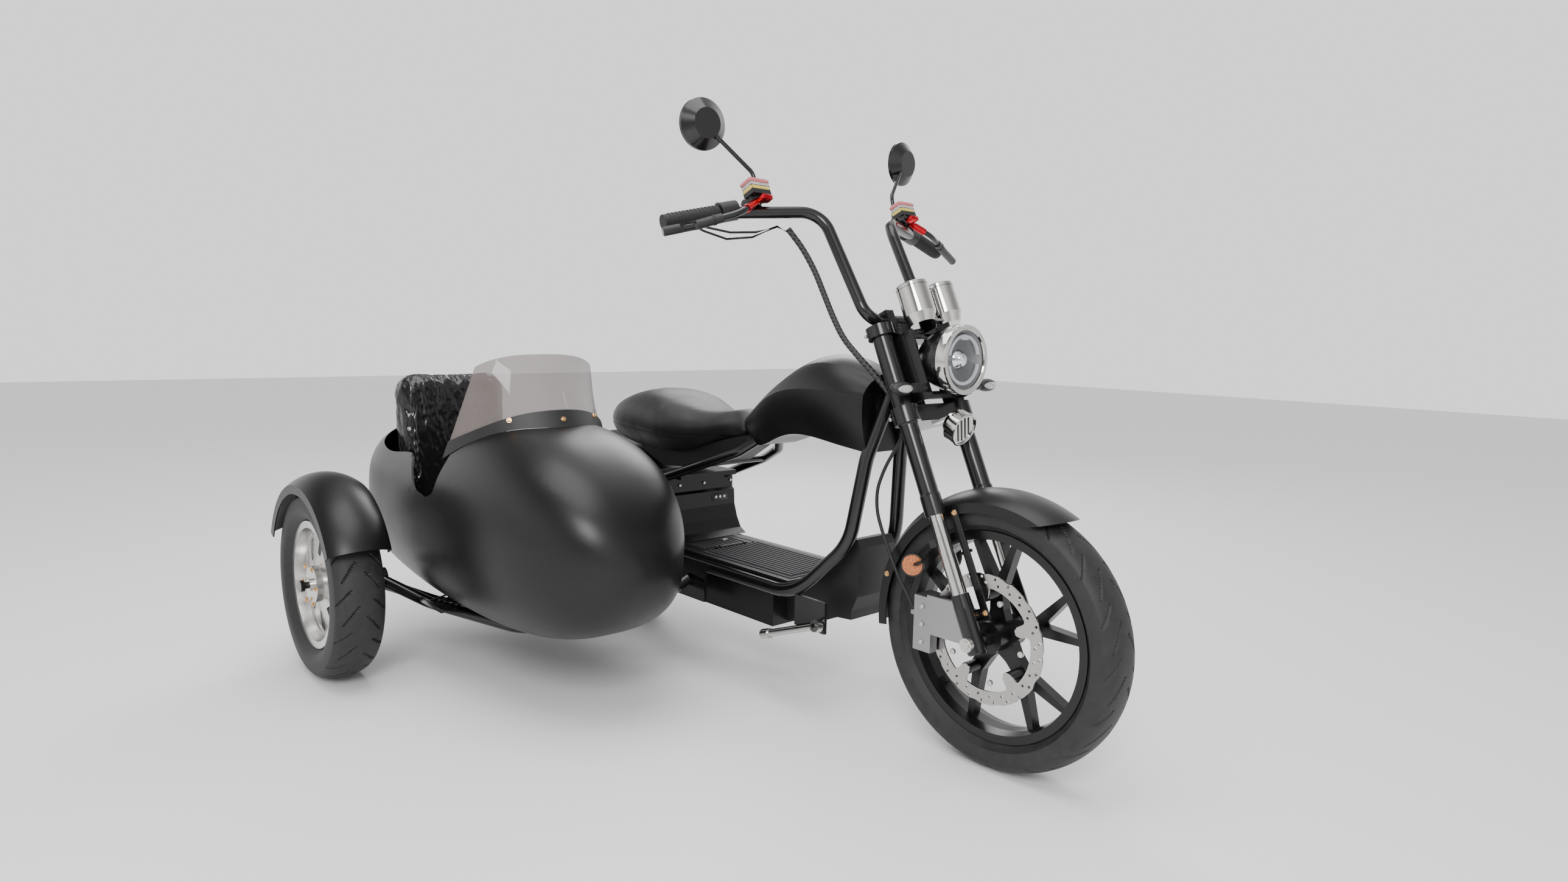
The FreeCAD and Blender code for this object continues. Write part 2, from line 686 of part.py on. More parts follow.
def make_headlight():
    """A spun bucket, its chromed ring and a domed lens, all level."""
    frame = level_on_fork(lamp_middle())
    depth, radius, ring = size("lamp_depth"), size("lamp_radius"), size("lamp_ring_radius")
    edges = [line(V(-depth, 0, 0), V(-depth, 0, 34)), arc(V(-depth, 0, 34), V(-88, 0, 58), V(-48, 0, radius)),
             line(V(-48, 0, radius), V(-32, 0, radius)), line(V(-32, 0, radius), V(-32, 0, 0)),
             line(V(-32, 0, 0), V(-depth, 0, 0))]
    bucket = Part.Face(Part.Wire(edges)).revolve(V(), V(1, 0, 0), 360)
    feature("headlight_shell", bucket, frame)
    hoop = rod(V(-31.7, 0, 0), V(-6, 0, 0), ring).cut(rod(V(-40, 0, 0), V(0, 0, 0), ring - 8))
    feature("headlight_ring", hoop, frame)
    dome = Part.makeSphere(150, V(-150, 0, 0)).common(rod(V(-31.7, 0, 0), V(10, 0, 0), ring - 8.3))
    feature("headlight_lens", dome, frame)


def make_headlight_bracket():
    """Side plates that hang the headlight and the indicators between the yokes."""
    gap = size("running_gap")
    inside = size("leg_spacing") / 2 - size("sleeve_radius")
    solids = []
    for side in (-1, 1):
        low, high = sorted((side * (inside - 7), side * (inside - gap)))
        solids.append(box(V(-12, low, 526), V(66, high, 684)))
    cross = box(V(30, -inside + 7, 530), V(62, inside - 7, 538))
    shelf = box(V(-12, -inside + 7, 678), V(23, inside - 7, 684))
    bracket = fused(solids + [cross, shelf])
    lamp = rod(lamp_middle() - V(size("lamp_depth") + 4, 0, 0), lamp_middle(), size("lamp_radius") + gap)
    bracket.Placement = FORK
    feature("headlight_bracket", bracket.cut(lamp))


def make_indicators():
    """Almond lamps on ribbed stalks, out beside the fork."""
    def indicator():
        middle = V(0, 152, 0)
        squash = FreeCAD.Matrix()
        squash.scale(0.62, 1.05, 0.5)
        shell = Part.makeSphere(30).transformGeometry(squash)
        shell.translate(middle)
        inside = size("leg_spacing") / 2 - size("sleeve_radius")
        stalk = rod(V(0, inside, 0), V(0, 128, 0), 9)
        return fused([shell, stalk])
    frame = level_on_fork(on_fork(56, 0, 549))
    feature("front_indicators", group(on_both_bars(indicator)), frame)


def make_horn():
    """A round chromed horn below the lower yoke, facing forward and down."""
    frame = FreeCAD.Placement(on_fork(56, 5, 452), FreeCAD.Rotation(ALONG_Y, 20))
    radius = size("horn_radius")
    dish = rod(V(-14, 0, 0), V(10, 0, 0), radius)
    back = Part.makeCone(radius - 12, radius - 2, 14, V(-28, 0, 0), V(1, 0, 0))
    horn = fused([dish, back])
    horn.Placement = frame
    top = size("lower_yoke_bottom") - size("running_gap")
    hanger = box(V(-6, -6, top - 5), V(56, 16, top))
    hanger.Placement = FORK
    feature("horn", fused([horn, hanger]))


def fender_section(outer, half_width, skirt, wall):
    """Half round crown with skirts, as a face in a plane through the axle."""
    def edge(radius, half):
        left, right = V(radius - skirt, -half, 0), V(radius - skirt, half, 0)
        shoulder = radius - half * 0.38
        return left, right, [line(left, V(shoulder, -half, 0)),
                             arc(V(shoulder, -half, 0), V(radius, 0, 0), V(shoulder, half, 0)),
                             line(V(shoulder, half, 0), right)]
    left, right, outside = edge(outer, half_width)
    inner_left, inner_right, inside = edge(outer - wall, half_width - wall)
    inner_left, inner_right = V(left.x, inner_left.y, 0), V(right.x, inner_right.y, 0)
    inside[0] = line(inner_left, inside[1].Vertexes[0].Point)
    inside[2] = line(inside[1].Vertexes[-1].Point, inner_right)
    closing = [line(right, inner_right), line(inner_left, left)]
    return Part.Face(Part.Wire(Part.__sortEdges__(outside + inside + closing)))


def swept_fender(outer, half_width, skirt, wall, front_angle, rear_angle):
    """A fender about the Y axis, between two angles above the front."""
    shell = fender_section(outer, half_width, skirt, wall).revolve(V(), V(0, -1, 0), rear_angle - front_angle)
    shell.rotate(V(), V(0, -1, 0), front_angle)
    return shell


def polar(radius, degrees, y=0.0):
    """A point about a wheel's middle, by its angle above the front."""
    return V(radius * math.cos(math.radians(degrees)), y, radius * math.sin(math.radians(degrees)))


def make_front_fender():
    """A long fender whose skirts rise to a point at the front."""
    radius, front = size("fender_radius"), size("fender_front_angle")
    shell = swept_fender(radius, size("fender_half_width"), size("fender_skirt"), size("fender_wall"),
                         front, size("fender_rear_angle"))
    corners = [polar(radius + 4, front), polar(radius - 66, front + 20), polar(radius - 120, front + 16),
               polar(radius - 120, front - 14), polar(radius + 30, front - 14), polar(radius + 4, front)]
    bite = Part.Face(Part.makePolygon(corners)).extrude(V(0, 200, 0))
    bite.translate(V(0, -100, 0))
    feature("front_fender", shell.cut(bite), level_on_fork(FORK.Base))


def make_fender_stays():
    """Forked straps from the castings to the fender's skirts."""
    half, leg = size("fender_half_width"), size("leg_spacing") / 2
    solids = []
    for side in (-1, 1):
        low, high = sorted((side * (half + 0.3), side * (half + 3.3)))
        upright = box(V(22, low, 40), V(40, high, 284))
        foot = box(V(6, low, 40), V(40, high, 64))
        brace = box(V(-60, low, 214), V(40, high, 232))
        boss = rod(V(14, side * half + side, 52), V(14, side * (leg - 5), 52), 7)
        casting = rod(V(0, side * leg, 0), V(0, side * leg, 100), size("lower_radius") + size("running_gap"))
        solids.append(fused([upright, foot, brace, boss]).cut(casting))
    feature("fender_stays", group(solids), FORK)


def make_caliper():
    """Brake caliper astride the disc, on a bracket from the right casting."""
    gap = size("disc_thickness") / 2 + 5
    disc_y = -size("disc_offset")
    middle = V(-146, disc_y, 3)
    housing = box(middle + V(-24, -31, -62), middle + V(24, 24, 62))
    slot = rod(V(0, disc_y - gap, 0), V(0, disc_y + gap, 0), size("disc_radius") + 6)
    side_y = -size("leg_spacing") / 2
    arm = box(V(-128, side_y - 2, -12), V(-10, disc_y - 30, 74))
    up = V(-math.sin(RAKE), 0, math.cos(RAKE))
    bracket = arm.cut(rod(V(0, side_y, 0) - up * 60, V(0, side_y, 0) + up * 200, size("lower_radius") + 0.3))
    rearmost = min(bracket.Solids, key=lambda s: s.CenterOfMass.x)
    banjo = rod(V(-184, disc_y - 18, 20), V(-169, disc_y - 18, 20), 7)
    feature("brake_caliper", fused([housing.cut(slot), rearmost, banjo]), level_on_fork(FORK.Base))


make_gauges()
make_headlight()
make_headlight_bracket()
make_indicators()
make_horn()
make_front_fender()
make_fender_stays()
make_caliper()

# ---------------------------------------------------------------- frame of the scooter
STAND_AXIS = V(0, -math.cos(math.radians(15)), math.sin(math.radians(15)))
STEM_LOW = size("lower_yoke_bottom") + size("lower_yoke_height") + size("head_gap")
STEM_HIGH = size("top_yoke_bottom") - size("head_gap")


def steering_point(up):
    """A point of the steering axis, in the whole."""
    return on_fork(-size("steering_offset"), 0, up)


def mirror_pair(shape):
    return both_sides(shape, size("bike_y"))


def make_head_frame(cradle):
    """Head tube and the backbone that runs back inside the tank."""
    low, high = steering_point(STEM_LOW), steering_point(STEM_HIGH)
    head = rod(low, high, size("head_radius"))
    backbone = bent_tube([steering_point(600), at(-420, 0, 792), at(-772, 0, 651)], [160],
                         size("backbone_radius"))
    bore = rod(steering_point(STEM_LOW - 20), steering_point(STEM_HIGH + 20),
               size("stem_radius") + size("running_gap"))
    whole = fused([head, backbone]).cut(bore).cut(cradle)
    feature("head_frame", max(whole.Solids, key=lambda s: s.Volume))


def stand_point(out=0.0):
    """A point of the side stand's pivot axis, moved outward along it."""
    return at(size("stand_x"), -128, size("stand_height")) + STAND_AXIS * out


def stand_plate():
    """The plate and pin that the side stand turns on."""
    plate = box(at(size("stand_x") - 90, -136, size("stand_height") - 15),
                at(size("stand_x") + 14, -128, size("rail_height")))
    return fused([plate, rod(stand_point(2), stand_point(34), 6)])


def make_cradle():
    """Down tubes that bend into the floor's side rails, tied across, with the swingarm's plates."""
    spread, rail = size("cradle_spread"), size("rail_height")
    tube_points = [at(-305, 22, 813), at(-352, 60, 640), at(-378, 84, 430), at(-500, spread, rail),
                   at(-1118, spread, rail)]
    tubes = mirror_pair(bent_tube(tube_points, [190, 150, 150], size("cradle_radius")))
    crosses = [rod(at(x, -spread, rail - 4), at(x, spread, rail - 4), 12) for x in (-582, -1084)]
    plates = mirror_pair(box(at(size("pivot_x") - 30, 127, 236), at(-1096, 135, 330)))
    plates.append(stand_plate())
    uprights = mirror_pair(rod(at(size("pivot_x") - 8, 135, 318), at(-1238, 142, 448), 12))
    head = rod(steering_point(STEM_LOW), steering_point(STEM_HIGH), size("head_radius"))
    pin = rod(at(size("pivot_x"), -160, size("pivot_height")), at(size("pivot_x"), 160, size("pivot_height")),
              10 + size("running_gap"))
    whole = fused(tubes + crosses + plates + uprights).cut(head).cut(pin)
    feature("cradle", whole)
    return whole


def make_seat_rails(cradle, backbone):
    """The pair of rails under the saddle, back to the rear fender."""
    rails = mirror_pair(bent_tube([at(-742, 18, 658), at(-805, 74, 603), at(-905, 113, 562),
                                   at(-1185, 142, 462), at(-1430, 142, 440)], [60, 90, 200],
                                  size("seat_rail_radius")))
    tie = rod(at(-905, -113, 562), at(-905, 113, 562), 9)
    whole = fused(rails + [tie]).cut(cradle).cut(backbone)
    feature("seat_rails", whole)
    return whole


def tank_section(x, low, crease, shoulder, top, half_low, half, half_top):
    """One slice: flat belly, bowed sides up to the crease, leaning flanks and a crowned panel."""
    def mid(a, b, out, up=0):
        return V(x, (a[0] + b[0]) / 2 + out, (a[1] + b[1]) / 2 + up)
    belly, edge, rim = (half_low, low), (half, crease), (half_top, shoulder)
    left = [arc(V(x, belly[0], belly[1]), mid(belly, edge, 9), V(x, edge[0], edge[1])),
            arc(V(x, edge[0], edge[1]), mid(edge, rim, 4, 3), V(x, rim[0], rim[1]))]
    right = [arc(V(x, -rim[0], rim[1]), V(x, -(edge[0] + rim[0]) / 2 - 4, (edge[1] + rim[1]) / 2 + 3),
                 V(x, -edge[0], edge[1])),
             arc(V(x, -edge[0], edge[1]), V(x, -(belly[0] + edge[0]) / 2 - 9, (belly[1] + edge[1]) / 2),
                 V(x, -belly[0], belly[1]))]
    crown = arc(V(x, rim[0], rim[1]), V(x, 0, top), V(x, -rim[0], rim[1]))
    floor = line(V(x, -belly[0], belly[1]), V(x, belly[0], belly[1]))
    return Part.Wire(left + [crown] + right + [floor])


def make_tank(solids_inside):
    """A long teardrop tank, arched underneath, that hides the backbone."""
    slices = [(-345, 652, 786, 822, 838, 68, 88, 50), (-430, 664, 792, 848, 868, 80, 108, 62),
              (-520, 675, 793, 855, 874, 82, 113, 66), (-620, 668, 778, 822, 838, 74, 106, 60),
              (-720, 632, 733, 758, 773, 58, 86, 46), (-796, 652, 690, 708, 716, 38, 60, 34)]
    wires = []
    for x, *rest in slices:
        wire = tank_section(x, *rest)
        wire.translate(at(0, 0, 0))
        wires.append(wire)
    tank = Part.makeLoft(wires, True, False)
    for inside in solids_inside:
        tank = tank.cut(inside)
    biggest = max(tank.Solids, key=lambda s: s.Volume)
    feature("tank", biggest)
    return biggest


def smooth_section(x, half, low, high, power=0.75, count=14):
    """A rounded slice across the vehicle: a closed curve through points of a squared ellipse."""
    points = []
    for i in range(count):
        turn = 2 * math.pi * i / count
        side, up = math.cos(turn), math.sin(turn)
        points.append(V(x, half * math.copysign(abs(side) ** power, side),
                        (low + high) / 2 + (high - low) / 2 * math.copysign(abs(up) ** power, up)))
    return closed_spline(points)


def make_saddle():
    """The padded saddle, plain: a nose against the tank, a wide dished rear."""
    slices = [(-799, 52, 650, 712), (-880, 70, 632, 706), (-980, 112, 604, 702), (-1070, 150, 578, 722),
              (-1160, 160, 570, 742), (-1250, 160, 572, 744), (-1330, 142, 588, 722), (-1392, 92, 612, 676)]
    wires = []
    for x, half, low, high in slices:
        wire = smooth_section(x, half, low, high)
        wire.translate(at(0, 0, 0))
        wires.append(wire)
    saddle = Part.makeLoft(wires, True, False)
    feature("saddle", saddle)
    return saddle


def make_seat_pan(saddle, rails, backbone):
    """The plate between the saddle and its rails."""
    profile = Part.makePolygon([at(-800, 0, 648), at(-880, 0, 630.5), at(-980, 0, 602), at(-1070, 0, 577),
                                at(-1160, 0, 569), at(-1250, 0, 571), at(-1300, 0, 579), at(-1300, 0, 560),
                                at(-1180, 0, 520), at(-1060, 0, 530), at(-905, 0, 558), at(-800, 0, 622),
                                at(-800, 0, 648)])
    pan = Part.Face(profile).extrude(V(0, 96, 0))
    pan.translate(V(0, -48, 0))
    saddle = saddle.translated(V(0, 0, -size("running_gap")))
    pan = pan.cut(saddle).cut(rails).cut(backbone)
    feature("seat_pan", max(pan.Solids, key=lambda s: s.Volume))


cradle_shape = make_cradle()
make_head_frame(cradle_shape)
backbone_shape = PARTS[-1].Shape.copy()
rails_shape = make_seat_rails(cradle_shape, backbone_shape)
make_tank([backbone_shape, rails_shape, cradle_shape])
saddle_shape = make_saddle()
make_seat_pan(saddle_shape, rails_shape, backbone_shape)


# ---------------------------------------------------------------- floor and battery
def make_floorboard():
    """The floor plate, with the hatch's opening and its hinge pin."""
    top, half, lid = size("floor_top"), size("floor_half_width"), size("lid_front")
    low = top - size("floor_plate")
    plate = box(at(size("floor_rear"), -half, low), at(size("floor_front"), half, top))
    hatch = box(at(size("lid_rear") - 5, -size("lid_half_width") - 5, low - 1),
                at(lid - 5, size("lid_half_width") + 5, top + 1))
    notch = box(at(lid - 6, -45, low - 1), at(lid + 11, 45, top + 1))
    posts = [box(at(lid - 5, side * 52 - 5, top), at(lid + 5, side * 52 + 5, top + 8)) for side in (-1, 1)]
    pin = rod(at(lid, -57, top + 3), at(lid, 57, top + 3), 3)
    feature("floorboard", fused([plate.cut(hatch).cut(notch), pin] + posts))


def make_lid():
    """The hatch over the battery, hinged at its front edge."""
    top, lid = size("floor_top"), size("lid_front")
    low = top - size("lid_thickness")
    plate = box(at(size("lid_rear"), -size("lid_half_width"), low), at(lid - 10, size("lid_half_width"), top))
    tongue = box(at(lid - 12, -40, low + 2), at(lid, 40, top + 4))
    knuckle = rod(at(lid, -40, top + 3), at(lid, 40, top + 3), 6)
    bore = rod(at(lid, -60, top + 3), at(lid, 60, top + 3), 3 + size("running_gap"))
    feature("battery_lid", fused([plate, tongue, knuckle]).cut(bore))


def make_battery_tray():
    """The open-topped tray under the floor, hung from the side rails."""
    half, wall, low = size("box_half_width"), size("box_wall"), size("box_bottom")
    top = size("floor_top") - size("floor_plate")
    outer = box(at(size("box_rear"), -half, low), at(size("box_front"), half, top))
    inner = box(at(size("box_rear") + wall, wall - half, low + wall),
                at(size("box_front") - wall, half - wall, top))
    lip = size("cradle_spread") - size("cradle_radius") - size("running_gap")
    rail = size("rail_height")
    lips = []
    for x in (size("box_rear") + 30, size("box_front") - 90):
        lips += mirror_pair(box(at(x, half - 1, rail - 3), at(x + 60, lip, rail + 3)))
    feature("battery_tray", fused([outer.cut(inner)] + lips))
    gap = wall + size("running_gap")
    feature("battery", box(at(size("box_rear") + gap + 6, gap + 6 - half, low + gap),
                           at(size("box_front") - gap - 6, half - gap - 6, top - 24)))


def side_profile(points, half_width):
    """A flat outline in the middle plane, thickened to both sides."""
    face = Part.Face(Part.makePolygon([at(x, -half_width, z) for x, z in points + points[:1]]))
    return face.extrude(V(0, 2 * half_width, 0))


def make_controller_box(cradle):
    """The housing ahead of the tray, between the down tubes."""
    front = size("box_front") + size("running_gap")
    points = [(front, 184), (front, 303), (-515, 303), (-452, 360), (-412, 432), (-372, 440), (-362, 420),
              (-366, 300), (-384, 262), (-384, 240), (-430, 236), (-520, 196)]
    shell = side_profile(points, 62).cut(cradle)
    feature("controller_box", max(shell.Solids, key=lambda s: s.Volume))


def make_battery_cover(rails, cradle):
    """The stepped panel under the saddle that closes the footwell."""
    front, rear, ledge = size("cover_front"), size("cover_rear"), size("ledge_height")
    low = size("floor_top") + size("running_gap")
    points = [(rear, low), (-1036, low), (-1062, low + 14), (-1080, low + 44), (front + 3, ledge - 44),
              (front, ledge), (front - 9, ledge + 7), (front - 9, size("cover_top")),
              (rear, size("cover_top"))]
    panel = side_profile(points, size("cover_half_width"))
    flange = box(at(rear, -102, size("cover_top")), at(-1022, 102, size("cover_top") + 14))
    cover = fused([panel, flange]).cut(rails).cut(cradle)
    feature("battery_cover", max(cover.Solids, key=lambda s: s.Volume))


make_floorboard()
make_lid()
make_battery_tray()
make_controller_box(cradle_shape)
make_battery_cover(rails_shape, cradle_shape)


# ---------------------------------------------------------------- rear end
def rear_point(x, y, z):
    """A point measured from the rear wheel's middle."""
    return V(REAR_AXLE_X + x, size("bike_y") + y, size("rear_tyre_radius") + z)


def make_swingarm():
    """Two box arms on one pivot, joined ahead of the tyre."""
    pivot = at(size("pivot_x"), 0, size("pivot_height"))
    axle = rear_point(0, 0, 0)
    half, tube = size("arm_half_width"), size("arm_tube") / 2
    solids = [rod(pivot + V(-26, -half, 0), pivot + V(-26, half, 0), 14),
              rod(pivot - V(0, 152, 0), pivot + V(0, 152, 0), 10)]
    for side in (-1, 1):
        start = V(0, side * half - tube, 0)
        sides = [pivot + V(0, 0, 21), axle + V(0, 0, 19), axle - V(0, 0, 19), pivot - V(0, 0, 21)]
        flat = Part.Face(Part.makePolygon([p + start for p in sides + sides[:1]]))
        solids.append(flat.extrude(V(0, 2 * tube, 0)))
        solids.append(rod(pivot + start, pivot + start + V(0, 2 * tube, 0), 21))
        solids.append(rod(axle + start, axle + start + V(0, 2 * tube, 0), 19))
    bore = rod(axle - V(0, 200, 0), axle + V(0, 200, 0), size("axle_radius") + size("running_gap"))
    feature("swingarm", fused(solids).cut(bore))


def make_rear_axle():
    reach = size("arm_half_width") + size("arm_tube") / 2
    shaft = rod(rear_point(0, -reach - 16, 0), rear_point(0, reach + 16, 0), size("axle_radius"))
    nuts = [rod(rear_point(0, side * (reach + 0.3), 0), rear_point(0, side * (reach + 11), 0), 15)
            for side in (-1, 1)]
    feature("rear_axle", fused([shaft] + nuts))


def make_rear_shocks(rails):
    """Coil-over shocks from the arms up to the seat rails."""
    reach = size("arm_half_width") + size("arm_tube") / 2
    low, high = rear_point(78, reach + 24, 10), rear_point(138, reach + 24, 180)
    run = (high - low).normalize()
    pieces = [rod(low, low + run * 60, 9), rod(low + run * 36, high - run * 30, 22),
              rod(high - run * 34, high, 14), rod(rear_point(78, reach, 10), low + V(0, 12, 0), 9),
              rod(high - V(0, 12, 0), high + V(0, 12, 0), 13)]
    shock = fused(pieces).cut(rails)
    shock = max(shock.Solids, key=lambda s: s.Volume)
    feature("rear_shocks", group(mirror_pair(shock)))


def make_rear_fender(rails):
    """A wide fender over the rear tyre, bolted to the seat rails."""
    half = size("rear_fender_half_width")
    shell = swept_fender(size("rear_fender_radius"), half, 56, size("fender_wall"), 38, 192)
    shell.translate(rear_point(0, 0, 5))
    stubs = mirror_pair(rod(rear_point(222, half - 2, 200), rear_point(222, half + 12, 200), 8))
    feature("rear_fender", fused([shell] + [stub.cut(rails) for stub in stubs]))


def make_rear_lights():
    """Round tail lamp and two indicators on the rear fender."""
    radius, half = size("rear_fender_radius"), size("rear_fender_half_width")
    filled = Part.makeCylinder(radius + size("running_gap"), 400, rear_point(0, -200, 5), ALONG_Y)
    lamp = rod(rear_point(-300, 0, 128), rear_point(-radius - 12, 0, 128), 36).cut(filled)
    squash = FreeCAD.Matrix()
    squash.scale(0.6, 1.0, 0.5)
    shell = Part.makeSphere(28).transformGeometry(squash)
    shell.translate(rear_point(-262, half + 44, 136))
    stalk = rod(rear_point(-262, half + 0.3, 136), rear_point(-262, half + 30, 136), 8)
    feature("rear_lights", group([lamp] + mirror_pair(fused([shell, stalk]))))


def make_plate_holder():
    """A blank number plate on its bracket behind the fender."""
    radius = size("rear_fender_radius")
    filled = Part.makeCylinder(radius + size("running_gap"), 400, rear_point(0, -200, 5), ALONG_Y)
    plate = box(rear_point(-radius - 13, -95, -50), rear_point(-radius - 9, 95, 60))
    bracket = box(rear_point(-radius - 9, -22, -10), rear_point(-radius + 40, 22, 40)).cut(filled)
    holes = [rod(rear_point(-radius - 30, y, 48), rear_point(-radius, y, 48), 3) for y in (-60, 60)]
    bracket = max(bracket.Solids, key=lambda s: -s.CenterOfMass.x)
    feature("plate_holder", fused([plate, bracket]).cut(Part.makeCompound(holes)))


def make_side_stand():
    """The silver stand, folded back along the tray."""
    head = rod(stand_point(13), stand_point(29), 15)
    bore = rod(stand_point(-5), stand_point(40), 6 + size("running_gap"))
    root = stand_point(21)
    foot = root + V(-0.94, 0.02, -0.34).normalize() * size("stand_length")
    leg = rod(root, foot, 9.5)
    toe = rod(foot + V(-14, 0, -5), foot + V(12, 0, 4), 13)
    feature("side_stand", fused([head, leg, toe]).cut(bore))


make_swingarm()
make_rear_axle()
make_rear_shocks(rails_shape)
make_rear_fender(rails_shape)
make_rear_lights()
make_plate_holder()
make_side_stand()


# ---------------------------------------------------------------- sidecar
def side_point(x, y, z):
    """A point measured from the sidecar wheel's middle."""
    return V(SIDE_AXLE_X + x, size("bike_y") - size("sidecar_track") + y, size("side_tyre_radius") + z)


def hull(shrink):
    """The sidecar's rounded tub, drawn in by a wall's thickness."""
    half, nose, tail = size("body_half_width"), size("body_nose"), size("body_tail")
    slices = [(nose - 6, 0.26, 330, 436), (nose - 34, 0.47, 276, 500), (nose - 95, 0.68, 222, 566),
              (nose - 200, 0.86, 184, 632), (nose - 345, 0.965, 166, 676), (nose - 520, 1.0, 163, 688),
              (nose - 720, 1.0, 171, 672), (nose - 920, 0.97, 192, 652), (tail + 110, 0.90, 226, 640),
              (tail + 40, 0.79, 264, 622), (tail + 6, 0.62, 316, 584)]
    wires = []
    for x, share, low, high in slices:
        x = min(max(x, tail + 6 + shrink), nose - 6 - shrink)
        wire = smooth_section(x, half * share - shrink, low + shrink, high - shrink, 0.72, 16)
        wire.translate(beside(0, 0, 0))
        wires.append(wire)
    return Part.makeLoft(wires, True, False)


def cockpit_outline(grow=0.0):
    """The opening's plan outline: round in front, squared behind."""
    front, rear, half = -975 + grow, -1690 - grow, 222 + grow
    points = [beside(front, 0, 0), beside(front - 60, half * 0.62, 0), beside(-1150, half, 0),
              beside(-1400, half, 0), beside(rear + 70, half * 0.94, 0), beside(rear, half * 0.8, 0),
              beside(rear - 4, 0, 0)]
    points += [V(p.x, 2 * SIDE_Y - p.y, 0) for p in reversed(points[1:-1])]
    return closed_spline(points)


def make_sidecar_body():
    """The tub: a thin shell, open above, its sides dipped for stepping in."""
    shell = hull(0).cut(hull(size("body_wall")))
    opening = Part.Face(cockpit_outline()).extrude(V(0, 0, 500))
    opening.translate(V(0, 0, 420))
    dip = [(-1120, 760), (-1150, 590), (-1182, 505), (-1232, 488), (-1300, 500), (-1370, 578),
           (-1450, 606), (-1560, 616), (-1600, 760)]
    path = route([beside(x, 0, z) for x, z in dip], [30, 30, 24, 30, 40, 60, 100, 20])
    ends = [path.Vertexes[-1].Point, path.Vertexes[0].Point]
    side_cut = Part.Face(Part.Wire(path.Edges + [line(*ends)])).extrude(V(0, 700, 0))
    side_cut.translate(V(0, -350, 0))
    tub = shell.cut(opening).cut(side_cut)
    feature("sidecar_body", max(tub.Solids, key=lambda s: s.Volume))


def make_cushions():
    """Seat cushion and tall backrest, plain."""
    low = 176 + size("body_wall") + 24.6
    seat = box(beside(-1560, -170, low + 30), beside(-1190, 170, low + 30 + size("cushion_height")))
    brim = [e for e in seat.Edges if e.BoundBox.ZLength < 1 and e.Vertexes[0].Point.z > low + 60]
    seat = seat.makeFillet(24, brim)
    feature("sidecar_cushion", seat)
    outline_points = [(-1560.3, 270), (-1640, 798), (-1690, 792), (-1689.5, 640), (-1650, 400), (-1612, 270)]
    back = Part.makePolygon([beside(x, -175, z) for x, z in outline_points + outline_points[:1]])
    rest = Part.Face(back).extrude(V(0, 350, 0))
    corners = [e for e in rest.Edges if e.BoundBox.YLength < 1 and e.BoundBox.ZMin > 780]
    rest = rest.makeFillet(60, corners)
    feature("sidecar_backrest", rest)


make_sidecar_body()
make_cushions()


def screen_sheet(outset, thickness, rise):
    """A curved sheet on the windscreen's lines, up to a share of its height."""
    base = [(-965, 0, 662), (-1000, 105, 648), (-1075, 186, 606), (-1188, 234, 556)]
    top = [(-1072, 0, 857), (-1080, 62, 855), (-1096, 118, 846), (-1124, 164, 824)]
    fan_x = -1210

    def ring(points, out):
        whole = [(x, -y, z) for x, y, z in reversed(points[1:])] + points
        curve = Part.BSplineCurve()
        curve.interpolate([beside(x, y, z) + V(x - fan_x, y, 0).normalize() * out for x, y, z in whole])
        return curve.toShape()

    upper = [tuple(b + (t - b) * rise for b, t in zip(low, high)) for low, high in zip(base, top)]
    outer = [ring(base, outset), ring(upper, outset)]
    inner = [ring(base, outset - thickness), ring(upper, outset - thickness)]
    faces = [Part.makeRuledSurface(*outer), Part.makeRuledSurface(*inner),
             Part.makeRuledSurface(outer[0], inner[0]), Part.makeRuledSurface(outer[1], inner[1])]
    for end in (0, -1):
        outer_end, inner_end = [line(*[edge.Vertexes[end].Point for edge in pair]) for pair in (outer, inner)]
        faces.append(Part.makeRuledSurface(outer_end, inner_end))
    shell = Part.Shell(faces)
    shell.sewShape()
    solid = Part.Solid(shell)
    return solid if solid.Volume > 0 else solid.reversed()


def make_windscreen():
    """Smoked screen wrapped round the cockpit's front, and the strip that bolts it down."""
    solid_hull = hull(-0.3)
    for label, outset, thickness, rise in (("windscreen", 0, size("screen_thickness"), 1.0),
                                           ("windscreen_band", 4.3, 4, 0.3)):
        sheet_solid = screen_sheet(outset, thickness, rise).cut(solid_hull)
        feature(label, max(sheet_solid.Solids, key=lambda s: s.Volume))


def make_sidecar_frame():
    """Tubes that sling the tub and its wheel from the scooter's right rail."""
    radius = size("subframe_radius")
    rail = size("cradle_spread") + size("cradle_radius") + size("running_gap")
    plate = box(at(-1052, -rail - 8, 200), at(-827, -rail, 300))
    loop = bent_tube([at(-900, -166, 250), at(-905, -300, 186), at(-990, -450, 138), at(-1120, -566, 138),
                      at(-1331, -706, 180), at(-1438, -800, 240)], [60, 90, 200, 160], radius)
    rear = bent_tube([at(-1030, -166, 240), at(-1190, -340, 150), at(-1400, -640, 150), at(-1446, -800, 230)],
                     [120, 150], radius)
    carrier = rod(at(-1450, -780, 240), at(-1450, -833.7, 240), 26)
    posts = [rod(at(x, y, 150), at(x, y, 240), 14) for x, y in ((-980, -432), (-1250, -426), (-1350, -568))]
    tie = rod(at(-1250, -425, 150), at(-1250, -650, 164), 12)
    slung = fused([plate, loop, rear, carrier, tie] + posts).cut(hull(-size("running_gap")))
    feature("sidecar_frame", max(slung.Solids, key=lambda s: s.Volume))


